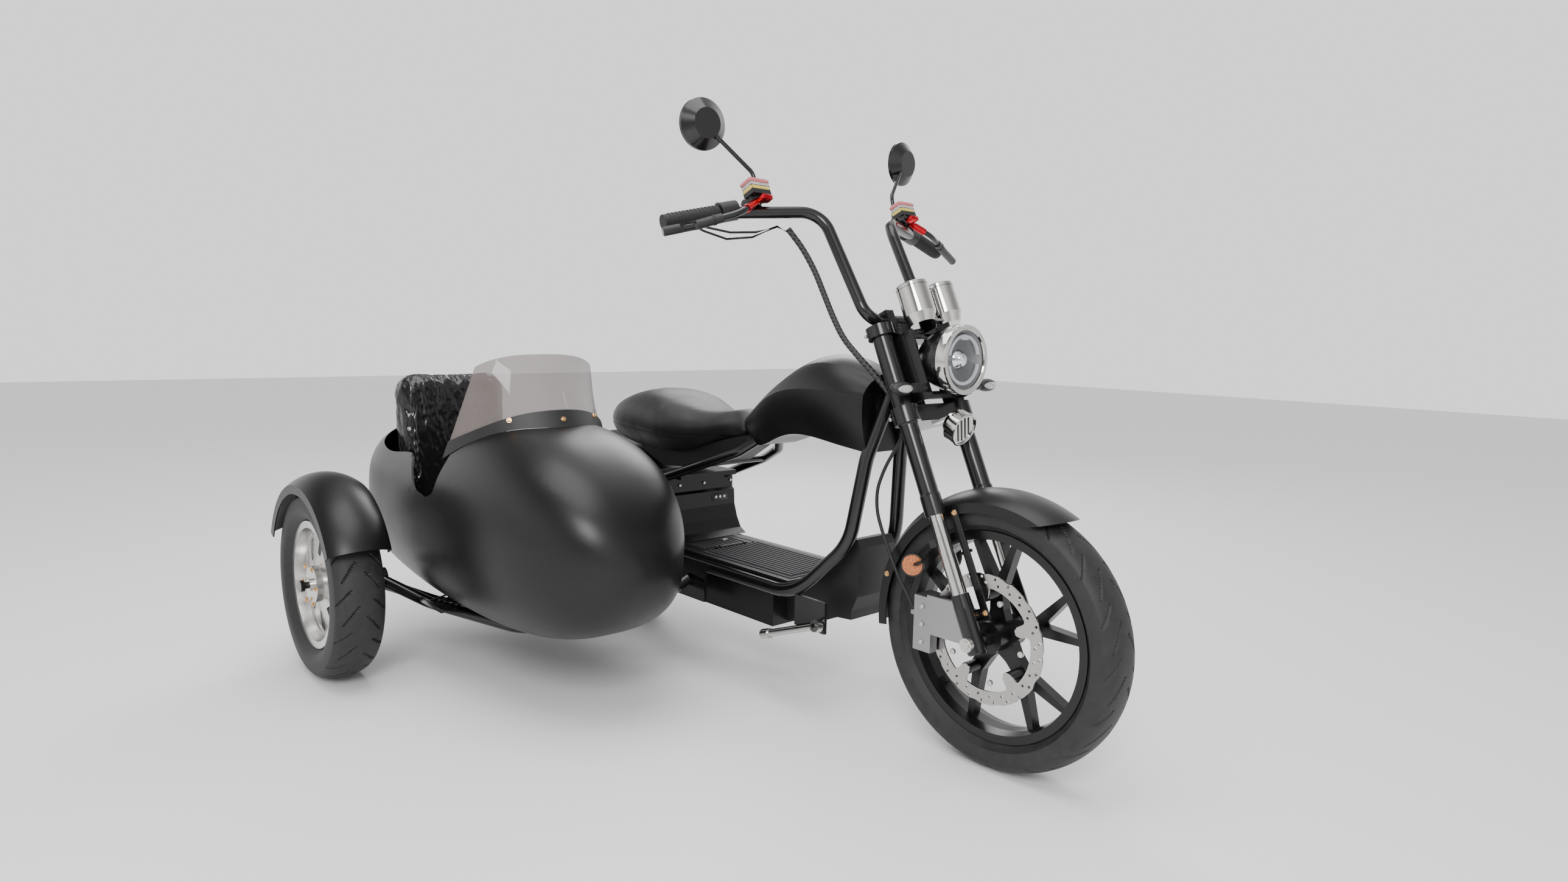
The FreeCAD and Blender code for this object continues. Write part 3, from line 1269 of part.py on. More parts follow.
def make_sidecar_arm():
    """The wheel's carrier plate with its stub axle and the fender's stay."""
    half = size("side_tyre_width") / 2
    inner = size("sidecar_track") - 846
    plate = box(side_point(-60, inner, -34), side_point(60, inner + 12, 34))
    stay = box(side_point(-16, 76.3, -20), side_point(16, 82, size("side_fender_radius") - 34))
    stub = rod(side_point(0, inner + 6, 0), side_point(0, -half - 12, 0), size("axle_radius"))
    nut = rod(side_point(0, -half - 2, 0), side_point(0, -half - 12, 0), 15)
    feature("sidecar_arm", fused([plate, stay, stub, nut]))


def make_sidecar_fender():
    """Round fender over the sidecar's wheel."""
    shell = swept_fender(size("side_fender_radius"), size("side_fender_half_width"), 52, size("fender_wall"),
                         27, 158)
    shell.translate(side_point(0, 0, 0))
    feature("sidecar_fender", shell)


make_windscreen()
make_sidecar_frame()
make_sidecar_arm()
make_sidecar_fender()


# ---------------------------------------------------------------- cords
def held_cord(label, points, radius):
    """A cord held along its whole route, each bend as wide as its runs allow."""
    radii = []
    for before, corner, after in zip(points, points[1:], points[2:]):
        inward, onward = corner - before, after - corner
        half = inward.getAngle(onward) / 2
        radii.append(0.45 * min(inward.Length, onward.Length) / math.tan(half))
    path = route(points, radii)
    cord = bent_tube(points, radii, radius)
    exact = math.pi * radius ** 2 * path.Length
    if abs(cord.Volume - exact) > 0.01 * exact:
        raise RuntimeError(label + " doesn't fill its own length")
    print("%s: %.0f mm long, bends %s mm" % (label, path.Length, [round(r) for r in radii]))
    feature(label, cord)


def make_cords():
    """Front brake hose and the wrapped wiring loom."""
    hose = [(-243, -62, 704), (-262, -66, 668), (-284, -73, 625), (-299, -80, 575), (-294, -84, 525),
            (-272, -86, 478), (-247, -86, 432), (-223, -85, 388), (-198, -80, 350), (-181, -76, 321)]
    held_cord("brake_hose", [at(*p) for p in hose], 4)
    loom = [(-516, -176, 1166), (-490, -152, 1122), (-462, -138, 1070), (-436, -133, 1018),
            (-408, -130, 966), (-374, -128, 916), (-326, -122, 873), (-290, -109, 837), (-264, -91, 800),
            (-246, -70, 760)]
    held_cord("wiring_loom", [at(*p) for p in loom], 7)


make_cords()


# ---------------------------------------------------------------- writing
doc.recompute()
for obj in doc.Objects:
    bad = [state for state in obj.State if state in ("Invalid", "Error")]
    if bad:
        raise RuntimeError("%s is %s" % (obj.Label, ", ".join(bad)))
for part in PARTS:
    if part.Shape.isNull() or not part.Shape.isValid() or not part.Shape.Solids:
        raise RuntimeError("%s has no valid shape" % part.Label)
os.makedirs("parts", exist_ok=True)
for part in PARTS:
    part.Shape.exportStep(os.path.join("parts", part.Label + ".step"))
    print("%-20s %2d solids %9.0f mm3" % (part.Label, len(part.Shape.Solids), part.Shape.Volume))
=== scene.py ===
import json
import math

import bmesh
import bpy
from mathutils import Matrix, Vector, noise


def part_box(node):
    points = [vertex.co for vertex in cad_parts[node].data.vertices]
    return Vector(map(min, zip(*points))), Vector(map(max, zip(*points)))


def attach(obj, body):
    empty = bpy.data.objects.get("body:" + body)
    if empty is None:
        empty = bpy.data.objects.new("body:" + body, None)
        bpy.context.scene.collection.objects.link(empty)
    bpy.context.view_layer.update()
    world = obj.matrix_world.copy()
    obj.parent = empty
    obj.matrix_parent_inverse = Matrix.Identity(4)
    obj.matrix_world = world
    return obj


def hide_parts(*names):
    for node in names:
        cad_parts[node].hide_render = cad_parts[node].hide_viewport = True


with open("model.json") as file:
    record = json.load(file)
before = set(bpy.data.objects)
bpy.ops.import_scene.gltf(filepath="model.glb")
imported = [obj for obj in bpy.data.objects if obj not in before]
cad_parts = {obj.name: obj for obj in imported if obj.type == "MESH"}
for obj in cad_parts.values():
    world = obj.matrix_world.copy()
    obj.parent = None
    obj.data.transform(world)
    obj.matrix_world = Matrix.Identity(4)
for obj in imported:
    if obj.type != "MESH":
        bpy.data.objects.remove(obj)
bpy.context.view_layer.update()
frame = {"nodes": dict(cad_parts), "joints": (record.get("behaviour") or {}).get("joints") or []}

bl_info = {
    "name": "Chopper scooter with sidecar",
    "version": (1, 0, 0),
    "blender": (4, 5, 0),
    "location": "3D View > Sidebar > Chopper",
    "description": "Finishes, soft pieces and small parts of an electric chopper scooter with its sidecar",
    "category": "Object",
}

MM = 0.001
JOINTS = {joint["name"]: joint for joint in frame["joints"]}
FRONT_AXLE = Vector(JOINTS["front_wheel_spin"]["pos_m"])
REAR_AXLE = Vector(JOINTS["rear_wheel_spin"]["pos_m"])
SIDE_AXLE = Vector(JOINTS["sidecar_wheel_spin"]["pos_m"])
STEERING = Vector(JOINTS["steering"]["axis"])
LEFT = Vector((0, 1, 0))
FORWARD = LEFT.cross(STEERING)
MIDDLE_Y = FRONT_AXLE.y
SIDECAR_Y = sum(corner.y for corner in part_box("sidecar_body")) / 2


def at(x, y, z):
    """A point in millimetres from under the front axle, in the scooter's middle plane."""
    return Vector((FRONT_AXLE.x + x * MM, MIDDLE_Y + y * MM, z * MM))


def on_fork(forward, left, up):
    """A point in millimetres from the front axle, along the fork's own directions."""
    return FRONT_AXLE + FORWARD * forward * MM + LEFT * left * MM + STEERING * up * MM


def facing(point, direction, roll=0.0):
    """A matrix at a point whose Z looks along a direction."""
    turn = Vector(direction).to_track_quat("Z", "Y").to_matrix().to_4x4()
    return Matrix.Translation(point) @ turn @ Matrix.Rotation(roll, 4, "Z")


# ------------------------------------------------------------------ shader writing
class Wire:
    """A node's output that can be added to, subtracted from, multiplied and divided."""

    def __init__(self, paint, socket):
        self.paint, self.socket = paint, socket

    def __add__(self, other):
        return self.paint.maths("ADD", self, other)

    def __radd__(self, other):
        return self.paint.maths("ADD", other, self)

    def __sub__(self, other):
        return self.paint.maths("SUBTRACT", self, other)

    def __rsub__(self, other):
        return self.paint.maths("SUBTRACT", other, self)

    def __mul__(self, other):
        return self.paint.maths("MULTIPLY", self, other)

    def __rmul__(self, other):
        return self.paint.maths("MULTIPLY", other, self)


class Paint:
    """One material: a Principled shader and the nodes that feed it."""

    def __init__(self, name, **constants):
        self.material = bpy.data.materials.new(name)
        self.material.use_nodes = True
        self.tree = self.material.node_tree
        self.shader = self.tree.nodes["Principled BSDF"]
        for label, value in constants.items():
            self.feed(label.replace("_", " "), value)

    def add(self, kind, settings=None, inputs=None, output=0):
        """A node of a type, with its settings and then the values or wires of its sockets."""
        node = self.tree.nodes.new(kind)
        for label, value in (settings or {}).items():
            setattr(node, label, value)
        for label, value in (inputs or {}).items():
            self.join(node.inputs[label], value)
        return Wire(self, node.outputs[output])

    def join(self, socket, value):
        if isinstance(value, Wire):
            self.tree.links.new(value.socket, socket)
        else:
            socket.default_value = value

    def feed(self, label, value):
        self.join(self.shader.inputs[label], value)

    def maths(self, operation, first, second=0.0):
        return self.add("ShaderNodeMath", {"operation": operation}, {0: first, 1: second})

    def place(self, scale=(1, 1, 1), turn=(0, 0, 0), centre=(0, 0, 0)):
        """Object coordinates, moved to a centre, turned and stretched."""
        spot = self.add("ShaderNodeTexCoord", output="Object")
        moved = self.add("ShaderNodeVectorMath", {"operation": "SUBTRACT"}, {0: spot, 1: centre})
        return self.add("ShaderNodeMapping", None, {"Vector": moved, "Rotation": turn, "Scale": scale})

    def noise(self, scale, detail=2.0, roughness=0.5, **where):
        return self.add("ShaderNodeTexNoise", None,
                        {"Vector": self.place(**where), "Scale": scale, "Detail": detail,
                         "Roughness": roughness})

    def cells(self, scale, **where):
        return self.add("ShaderNodeTexVoronoi", {"feature": "F1"},
                        {"Vector": self.place(**where), "Scale": scale})

    def bands(self, scale, direction, **where):
        return self.add("ShaderNodeTexWave", {"wave_type": "BANDS", "bands_direction": direction},
                        {"Vector": self.place(**where), "Scale": scale}, output="Fac")

    def rings(self, scale, centre):
        return self.add("ShaderNodeTexWave", {"wave_type": "RINGS", "rings_direction": "Y"},
                        {"Vector": self.place(centre=centre), "Scale": scale, "Distortion": 0.6},
                        output="Fac")

    def blend(self, factor, first, second):
        """A colour between two, by a mask."""
        node = self.tree.nodes.new("ShaderNodeMix")
        node.data_type = "RGBA"
        self.join(node.inputs["Factor"], factor)
        self.join(node.inputs[6], (*first, 1))
        self.join(node.inputs[7], (*second, 1))
        return Wire(self, node.outputs[2])

    def ramp(self, value, low, high):
        """Nought below one value, one above another."""
        return self.add("ShaderNodeMapRange", {"clamp": True},
                        {"Value": value, "From Min": low, "From Max": high})

    def bump(self, height, distance, strength=1.0):
        self.feed("Normal", self.add("ShaderNodeBump", None,
                                     {"Height": height, "Distance": distance, "Strength": strength}))
        return self


def painted(name, dark, light, roughness, grain, coat=0.0):
    """Black paint: faint clouding, a fine grain and a little dust in the gloss."""
    paint = Paint(name, IOR=1.42, Coat_Weight=coat)
    cloud = paint.noise(6.0, 4.0)
    paint.feed("Base Color", paint.blend(cloud, dark, light))
    paint.feed("Roughness", roughness - 0.05 + 0.1 * cloud)
    return paint.bump(paint.noise(1400.0, 2.0), grain).material


def metal(name, colour, roughness, spread, scale=60.0):
    """Polished or cast metal with faint smears in its gloss."""
    paint = Paint(name, Metallic=1.0)
    smear = paint.noise(scale, 4.0)
    paint.feed("Base Color", paint.blend(smear, [c * 0.9 for c in colour], colour))
    paint.feed("Roughness", roughness + spread * smear)
    return paint.bump(paint.noise(scale * 12, 2.0), 0.00003).material


def turned_metal(name, colour, roughness, centre):
    """Metal with the fine circles that a lathe leaves round a wheel's axis."""
    paint = Paint(name, Metallic=1.0)
    circles = paint.rings(260.0, centre)
    stain = paint.noise(30.0, 3.0)
    paint.feed("Base Color", paint.blend(circles * 0.5 + stain * 0.5, [c * 0.82 for c in colour], colour))
    paint.feed("Roughness", roughness + 0.1 * stain)
    return paint.bump(circles, 0.00006, 0.5).material


def rubber(name, colour, roughness, grain, scale=420.0):
    """Moulded rubber or plastic with a pebbled grain."""
    paint = Paint(name, IOR=1.5)
    dust = paint.noise(22.0, 5.0, 0.6)
    paint.feed("Base Color", paint.blend(dust, [c * 0.7 for c in colour], [c * 1.25 for c in colour]))
    paint.feed("Roughness", roughness - 0.06 + 0.12 * dust)
    return paint.bump(paint.cells(scale), grain, 0.7).material


def vinyl(name, colour, roughness, grain, scale):
    """Embossed vinyl: small cells with softer creases across them."""
    paint = Paint(name, IOR=1.5, Sheen_Weight=0.06, Sheen_Roughness=0.5)
    cells, crease = paint.cells(scale), paint.noise(scale / 7, 4.0, 0.6)
    wear = paint.noise(7.0, 4.0)
    paint.feed("Base Color", paint.blend(wear, [c * 0.75 for c in colour], [c * 1.2 for c in colour]))
    paint.feed("Roughness", roughness - 0.08 * crease + 0.08 * wear)
    return paint.bump(cells * 0.6 + crease * 0.4, grain, 0.8).material


def tyre_rubber(name, centre):
    """Tread and walls: dull rubber, dusty towards the grooves, with fine rings on the walls."""
    paint = Paint(name, IOR=1.5)
    dust = paint.noise(45.0, 6.0, 0.65)
    fresh, dusty = (0.008, 0.008, 0.0085), (0.021, 0.0205, 0.02)
    paint.feed("Base Color", paint.blend(paint.ramp(dust, 0.35, 0.75), fresh, dusty))
    paint.feed("Roughness", 0.5 + 0.22 * dust)
    rings = paint.rings(75.0, centre)
    return paint.bump(rings * 0.35 + paint.noise(700.0, 2.0) * 0.3, 0.0004, 0.6).material


def clear_glass(name, colour, roughness, alpha=1.0, transmission=1.0):
    paint = Paint(name, IOR=1.45, Transmission_Weight=transmission, Alpha=alpha)
    haze = paint.noise(14.0, 3.0)
    paint.feed("Base Color", paint.blend(haze, [c * 0.96 for c in colour], colour))
    paint.feed("Roughness", roughness + 0.04 * haze)
    return paint.material


def facets(name, colour, painted_glow):
    """A reflector or coloured lens with prisms moulded behind it."""
    # Emission here is a painted glow: light in the lens's own colour, though nothing behind it is lit.
    paint = Paint(name, IOR=1.5, Coat_Weight=1.0, Coat_Roughness=0.03, Emission_Strength=painted_glow)
    prisms = paint.cells(330.0)
    paint.feed("Base Color", paint.blend(paint.ramp(prisms, 0.1, 0.6), colour, [c * 0.35 for c in colour]))
    paint.feed("Emission Color", (*colour, 1))
    paint.feed("Roughness", 0.12 + 0.3 * prisms)
    return paint.bump(prisms, 0.0008).material


def wrapped(name):
    """Black spiral wrap round a loom of wires."""
    paint = Paint(name, IOR=1.5)
    turns = paint.bands(36.0, "Z", turn=(0.5, 0.35, 0))
    paint.feed("Base Color", paint.blend(turns, (0.006, 0.006, 0.006), (0.028, 0.028, 0.03)))
    paint.feed("Roughness", 0.32 + 0.25 * turns)
    return paint.bump(turns, 0.0022).material


def make_finishes():
    """Every finish, by name."""
    black, grey, gloss_grey = (0.0028, 0.0028, 0.003), (0.0055, 0.0054, 0.0056), (0.0055, 0.0055, 0.006)
    return {
        "satin": painted("satin_black_paint", black, grey, 0.34, 0.00006),
        "frame": painted("gloss_black_paint", black, gloss_grey, 0.24, 0.00003, 0.3),
        "rim": painted("wheel_black_paint", (0.0035, 0.0035, 0.0035), (0.008, 0.008, 0.0085), 0.31, 0.00004),
        "plastic": rubber("textured_black_plastic", (0.008, 0.008, 0.0085), 0.46, 0.0002, 900.0),
        "rubber": rubber("moulded_rubber", (0.007, 0.007, 0.0075), 0.62, 0.0003),
        "mat": rubber("ribbed_floor_mat", (0.035, 0.035, 0.038), 0.6, 0.0003, 700.0),
        "chrome": metal("bright_chrome", (0.6, 0.59, 0.575), 0.05, 0.06),
        "smoked_chrome": metal("smoked_chrome", (0.09, 0.09, 0.095), 0.12, 0.08),
        "alloy": metal("polished_alloy", (0.64, 0.635, 0.62), 0.14, 0.14),
        "cast": metal("cast_alloy", (0.36, 0.36, 0.37), 0.36, 0.16, 160.0),
        "steel": metal("zinc_plated_steel", (0.62, 0.61, 0.58), 0.28, 0.14, 120.0),
        "disc": turned_metal("ground_disc_steel", (0.46, 0.445, 0.43), 0.2, FRONT_AXLE),
        "brass": metal("gold_bolt_plating", (0.86, 0.55, 0.26), 0.2, 0.12, 220.0),
        "seat": vinyl("saddle_vinyl", (0.0075, 0.0075, 0.0077), 0.46, 0.0004, 520.0),
        "cushion": vinyl("cushion_vinyl", (0.008, 0.008, 0.0085), 0.42, 0.0004, 460.0),
        "backrest": vinyl("backrest_vinyl_in_film", (0.007, 0.007, 0.0075), 0.14, 0.0002, 300.0),
        "lens": clear_glass("clear_lens", (0.97, 0.98, 1.0), 0.0),
        "smoked": clear_glass("smoked_screen", (0.22, 0.185, 0.175), 0.03, 0.52, 0.0),
        # The last number of each facets finish is the strength of its painted glow, on reflectors, lamp
        # lenses and reservoir windows that no lamp lights.
        "amber": facets("amber_reflector", (0.85, 0.2, 0.008), 0.06),
        "red_lens": facets("red_tail_lens", (0.42, 0.008, 0.01), 0.05),
        "white_lens": facets("white_indicator_lens", (0.75, 0.74, 0.72), 0.05),
        "red": metal("red_anodised", (0.62, 0.016, 0.03), 0.22, 0.1, 200.0),
        "pink": painted("reservoir_cap_pink", (0.48, 0.13, 0.14), (0.56, 0.17, 0.17), 0.3, 0.00004, 0.5),
        "fluid": painted("brake_fluid_yellow", (0.55, 0.42, 0.06), (0.62, 0.5, 0.1), 0.12, 0.00002, 1.0),
        "light": painted("lamp_ring_white", (0.75, 0.77, 0.8), (0.85, 0.87, 0.9), 0.2, 0.00002, 0.5),
        "mirror": metal("mirror_glass", (0.9, 0.91, 0.93), 0.015, 0.01),
        "dial": rubber("dial_black", (0.01, 0.01, 0.012), 0.3, 0.00005),
        "loom": wrapped("spiral_wrap"),
        "tyre_front": tyre_rubber("front_tyre_rubber", FRONT_AXLE),
        "tyre_rear": tyre_rubber("rear_tyre_rubber", REAR_AXLE),
        "tyre_side": tyre_rubber("sidecar_tyre_rubber", SIDE_AXLE),
    }


NODE_FINISH = {
    "satin": ["tank", "front_fender", "rear_fender", "sidecar_body", "sidecar_fender", "battery_cover"],
    "frame": ["fork_lowers", "fork_tubes", "lower_yoke", "top_yoke", "handlebar", "handlebar_clamps",
              "brake_levers", "mirrors", "headlight_shell", "headlight_bracket", "fender_stays", "cradle",
              "head_frame", "seat_rails", "swingarm", "rear_shocks", "plate_holder", "sidecar_frame",
              "sidecar_arm"],
    "rim": ["front_rim", "rear_rim", "battery_tray"],
    "plastic": ["control_pods", "front_indicators", "seat_pan", "controller_box", "battery",
                "windscreen_band", "battery_lid", "floorboard"],
    "rubber": ["grips", "brake_hose"],
    "chrome": ["fork_stanchions", "gauges", "headlight_ring", "horn"],
    "alloy": ["sidecar_rim", "side_stand"],
    "steel": ["front_axle", "rear_axle"],
    "cast": ["brake_caliper"],
    "disc": ["brake_disc"],
    "lens": ["headlight_lens"],
    "smoked": ["windscreen"],
    "red_lens": ["rear_lights"],
    "loom": ["wiring_loom"],
    "tyre_front": ["front_tyre"],
    "tyre_rear": ["rear_tyre"],
    "tyre_side": ["sidecar_tyre"],
    "seat": ["saddle"],
    "cushion": ["sidecar_cushion"],
    "backrest": ["sidecar_backrest"],
}
FINISH = {}


# ------------------------------------------------------------------ modelling helpers
def finish_piece(name, shape, body, finish, replaces=(), smooth=35):
    """A bmesh made into a piece that rides on a body, with its finish and its record's slot."""
    bmesh.ops.recalc_face_normals(shape, faces=shape.faces)
    mesh = bpy.data.meshes.new(name)
    shape.to_mesh(mesh)
    shape.free()
    piece = bpy.data.objects.new(name, mesh)
    bpy.context.scene.collection.objects.link(piece)
    mesh.materials.append(FINISH[finish])
    mesh.shade_smooth()
    mesh.set_sharp_from_angle(angle=math.radians(smooth))
    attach(piece, body)
    if replaces:
        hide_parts(*replaces)
    return piece


def rounded(shape, edges, width, segments=2):
    bmesh.ops.bevel(shape, geom=edges, offset=width, affect="EDGES", segments=segments, profile=0.5,
                    material=-1)


def cylinder(shape, place, radius, low, high, segments=32, top=None, bevel=0.0):
    """A closed cylinder or cone along the Z of a matrix, its rims rounded."""
    made = bmesh.ops.create_cone(shape, cap_ends=True, segments=segments, radius1=radius,
                                 radius2=radius if top is None else top, depth=high - low,
                                 matrix=place @ Matrix.Translation((0, 0, (low + high) / 2)))
    if bevel:
        faces = {face for vert in made["verts"] for face in vert.link_faces if len(face.verts) > 4}
        rounded(shape, list({edge for face in faces for edge in face.edges}), bevel)
    return made["verts"]


def block(shape, place, sizes, bevel=0.0):
    """A box about the middle of a matrix, its edges rounded."""
    made = bmesh.ops.create_cube(shape, size=1.0, matrix=place @ Matrix.Diagonal((*sizes, 1)))
    if bevel:
        rounded(shape, list({edge for vert in made["verts"] for edge in vert.link_edges}), bevel)


def turned(shape, place, profile, segments=48):
    """A profile of radius and height spun about the Z of a matrix."""
    verts = [shape.verts.new(place @ Vector((radius, 0, height))) for radius, height in profile]
    edges = [shape.edges.new(pair) for pair in zip(verts, verts[1:])]
    axis = (place.to_3x3() @ Vector((0, 0, 1))).normalized()
    made = bmesh.ops.spin(shape, geom=verts + edges, cent=place.translation, axis=axis, angle=2 * math.pi,
                          steps=segments, use_merge=True, use_duplicate=False)
    bmesh.ops.remove_doubles(shape, verts=shape.verts, dist=1e-6)
    return made


def hex_bolt(shape, place, size=5.0):
    """A flanged hexagon bolt that stands on the XY plane of a matrix; size is half its width across."""
    cylinder(shape, place, size * 1.45 * MM, 0, size * 0.28 * MM, 24, size * 1.3 * MM)
    cylinder(shape, place, size * MM, size * 0.2 * MM, size * 1.05 * MM, 6, bevel=0.12 * size * MM)
    cylinder(shape, place, size * 0.42 * MM, size * 0.9 * MM, size * 1.3 * MM, 12)


def cap_bolt(shape, place, size=4.0):
    """A socket-head bolt."""
    verts = cylinder(shape, place, size * MM, 0, size * 0.9 * MM, 24, bevel=0.1 * size * MM)
    return verts


def tube(shape, points, radius, segments=10):
    """A round bar through points, capped at both ends."""
    rings = []
    for index, point in enumerate(points):
        before, after = points[max(index - 1, 0)], points[min(index + 1, len(points) - 1)]
        made = bmesh.ops.create_circle(shape, cap_ends=False, segments=segments, radius=radius,
                                       matrix=facing(point, after - before))
        rings.append(made["verts"])
    for first, second in zip(rings, rings[1:]):
        offset = min(range(segments), key=lambda k: (first[0].co - second[k].co).length)
        second[:] = second[offset:] + second[:offset]
        for k in range(segments):
            shape.faces.new((first[k - 1], first[k], second[k], second[k - 1]))
    shape.faces.new(rings[0])
    shape.faces.new(rings[-1])


def spring(shape, low, high, radius, wire, turns):
    """A coil spring between two points."""
    place = facing(low, high - low)
    length = (high - low).length
    steps = int(turns * 18)
    points = [place @ Vector((radius * math.cos(turns * 2 * math.pi * k / steps),
                              radius * math.sin(turns * 2 * math.pi * k / steps), length * k / steps))
              for k in range(steps + 1)]
    tube(shape, points, wire, 8)


# ------------------------------------------------------------------ tyres
def groove_depth(turn, across, half, radius, pitches, lean):
    """How deep the tread is cut at an angle and a place across it, from nought to one."""
    side = 1 if across > 0 else -1
    share = abs(across) / half
    pitch = 2 * math.pi / pitches
    deepest = 0.0
    for shift, start, end, bend in ((0.0, 0.08, 0.78, 1.0), (0.5, 0.36, 0.98, 0.75)):
        if not start < share < end:
            continue
        path = lean * bend * share ** 1.25 + shift * pitch + (0.25 * pitch if side > 0 else 0)
        off = (turn + path + pitch / 2) % pitch - pitch / 2
        taper = min(1, (share - start) * 9, (end - share) * 9)
        width = (2.6 + 1.6 * share) * MM * taper
        deepest = max(deepest, min(1, max(0, (width - abs(off) * radius) / (1.0 * MM))))
    return deepest


def make_tyre(name, node, body, axle, finish, pitches, lean, steps):
    """A tyre spun from its section, with the tread's grooves pressed in."""
    low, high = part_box(node)
    radius, width = (high.z - low.z) / 2, high.y - low.y
    inner = radius * 0.775 if node == "front_tyre" else radius * 0.66
    half, crown = width / 2, radius - width * 0.2
    wall = crown - inner
    section = [(inner, half * 0.62), (inner + 0.006, half * 0.7), (inner + 0.35 * wall, half * 0.95),
               (inner + 0.62 * wall, half), (crown - 0.003, half * 0.96)]
    tread = []
    count = 44
    for k in range(count + 1):
        share = math.cos(math.pi * k / count)
        flat = math.copysign(abs(share) ** 0.9, share)
        tread.append((crown + (radius - crown) * (1 - abs(flat) ** 2.3) ** 0.62, half * 0.96 * flat))
    bead = [(inner - 0.004, -half * 0.5), (inner - 0.004, half * 0.5)]
    profile = section[:-1] + tread + [(r, -y) for r, y in reversed(section[:-1])] + bead
    place = Matrix.Translation(axle) @ Matrix.Rotation(-math.pi / 2, 4, "X")
    shape = bmesh.new()
    turned(shape, place, profile + [profile[0]], steps)
    tread_limit, groove = half * 0.95, 0.0045
    for vert in shape.verts:
        spot = vert.co - axle
        reach = math.hypot(spot.x, spot.z)
        if reach < crown - 0.001 or abs(spot.y) > tread_limit:
            continue
        depth = groove_depth(math.atan2(spot.z, spot.x), spot.y, half, radius, pitches, lean)
        vert.co -= Vector((spot.x, 0, spot.z)) / reach * groove * depth
    return finish_piece(name, shape, body, finish, (node,), 40)


# ------------------------------------------------------------------ soft pieces
def apply_modifiers(piece):
    """Replaces a piece's mesh by what its modifiers make of it."""
    graph = bpy.context.evaluated_depsgraph_get()
    mesh = bpy.data.meshes.new_from_object(piece.evaluated_get(graph))
    old = piece.data
    piece.modifiers.clear()
    piece.data = mesh
    bpy.data.meshes.remove(old)


def inflate(piece, pressure, cap):
    """Lets cloth swell under air pressure, no point moving further than the cap."""
    scene = bpy.context.scene
    start = [vert.co.copy() for vert in piece.data.vertices]
    cloth = piece.modifiers.new("Cloth", "CLOTH")
    cloth.settings.use_pressure = True
    cloth.settings.uniform_pressure_force = pressure
    cloth.settings.effector_weights.gravity = 0
    for number in range(1, 21):
        scene.frame_set(number)
    apply_modifiers(piece)
    for vert, first in zip(piece.data.vertices, start):
        move = vert.co - first
        if move.length > cap:
            vert.co = first + move.normalized() * cap
    scene.frame_set(1)


def make_padded(name, node, body, finish, voxel, shrink, cap, pressure, shaping):
    """A padded piece grown from its plain solid: remeshed, inflated, smoothed and given its seams."""
    shape = bmesh.new()
    shape.from_mesh(frame["nodes"][node].data)
    bmesh.ops.remove_doubles(shape, verts=shape.verts, dist=1e-5)
    shape.normal_update()
    low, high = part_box(node)
    middle = (low + high) / 2
    for vert in shape.verts:
        vert.co -= Vector(min(shrink, abs(c)) * math.copysign(1, c) for c in vert.co - middle)
    piece = finish_piece(name, shape, body, finish, (node,), 180)
    remesh = piece.modifiers.new("Remesh", "REMESH")
    remesh.mode, remesh.voxel_size = "VOXEL", voxel
    apply_modifiers(piece)
    inflate(piece, pressure, cap)
    shape = bmesh.new()
    shape.from_mesh(piece.data)
    for _ in range(6):
        bmesh.ops.smooth_vert(shape, verts=shape.verts, factor=0.5, use_axis_x=True, use_axis_y=True,
                              use_axis_z=True)
    bmesh.ops.subdivide_edges(shape, edges=shape.edges, cuts=1, use_grid_fill=True, smooth=0.0)
    for _ in range(2):
        bmesh.ops.smooth_vert(shape, verts=shape.verts, factor=0.5, use_axis_x=True, use_axis_y=True,
                              use_axis_z=True)
    shape.normal_update()
    for vert in shape.verts:
        vert.co += vert.normal * shaping(vert.co, low, high)
    shape.to_mesh(piece.data)
    shape.free()
    piece.data.materials.clear()
    piece.data.materials.append(FINISH[finish])
    piece.data.shade_smooth()
    return piece


def notch(distance, half_width, depth):
    """The dip of a seam at a distance from its line."""
    return -depth * math.exp(-(distance / half_width) ** 2)


def saddle_shaping(spot, low, high):
    """A seam round the side, and faint wrinkles."""
    share = (spot.x - low.x) / (high.x - low.x)
    seam_height = low.z + (high.z - low.z) * (0.40 + 0.06 * math.cos(share * 5))
    across = abs(spot.y - MIDDLE_Y)
    side = notch(spot.z - seam_height, 0.0022, 0.0022) if across > 0.02 else 0
    wrinkle = noise.noise(spot * 26) * 0.0007
    return side + wrinkle


def cushion_shaping(spot, low, high):
    """Sewn channels across the cushion and a seam round its edge."""
    channel = min(abs(spot.x - (low.x + (high.x - low.x) * share)) for share in (0.25, 0.5, 0.75))
    top = notch(channel, 0.004, 0.004) if spot.z > low.z + (high.z - low.z) * 0.7 else 0
    edge = notch(spot.z - (low.z + (high.z - low.z) * 0.72), 0.0022, 0.002)
    return top + edge + noise.noise(spot * 22) * 0.0008


def backrest_shaping(spot, _low, _high):
    """Creases of the clear film drawn over the backrest, mostly up and down."""
    stretched = Vector((spot.x * 40, spot.y * 62, spot.z * 13))
    crease = abs(noise.noise(stretched)) + 0.5 * abs(noise.noise(stretched * 2.1))
    fine = abs(noise.noise(Vector((spot.x * 90, spot.y * 120, spot.z * 45))))
    return 0.0042 * (0.5 - crease) + 0.0016 * (0.5 - fine)


# ------------------------------------------------------------------ property groups
class WheelSizes(bpy.types.PropertyGroup):
    pitches: bpy.props.IntProperty(
        name="Tread pitches", description="Repeats of the tread round a tyre", default=17)
    steps: bpy.props.IntProperty(
        name="Steps", description="Sections round a tyre", default=840)
    lean: bpy.props.FloatProperty(
        name="Groove lean", description="How far a groove turns towards the shoulder", default=0.34,
        subtype="ANGLE")


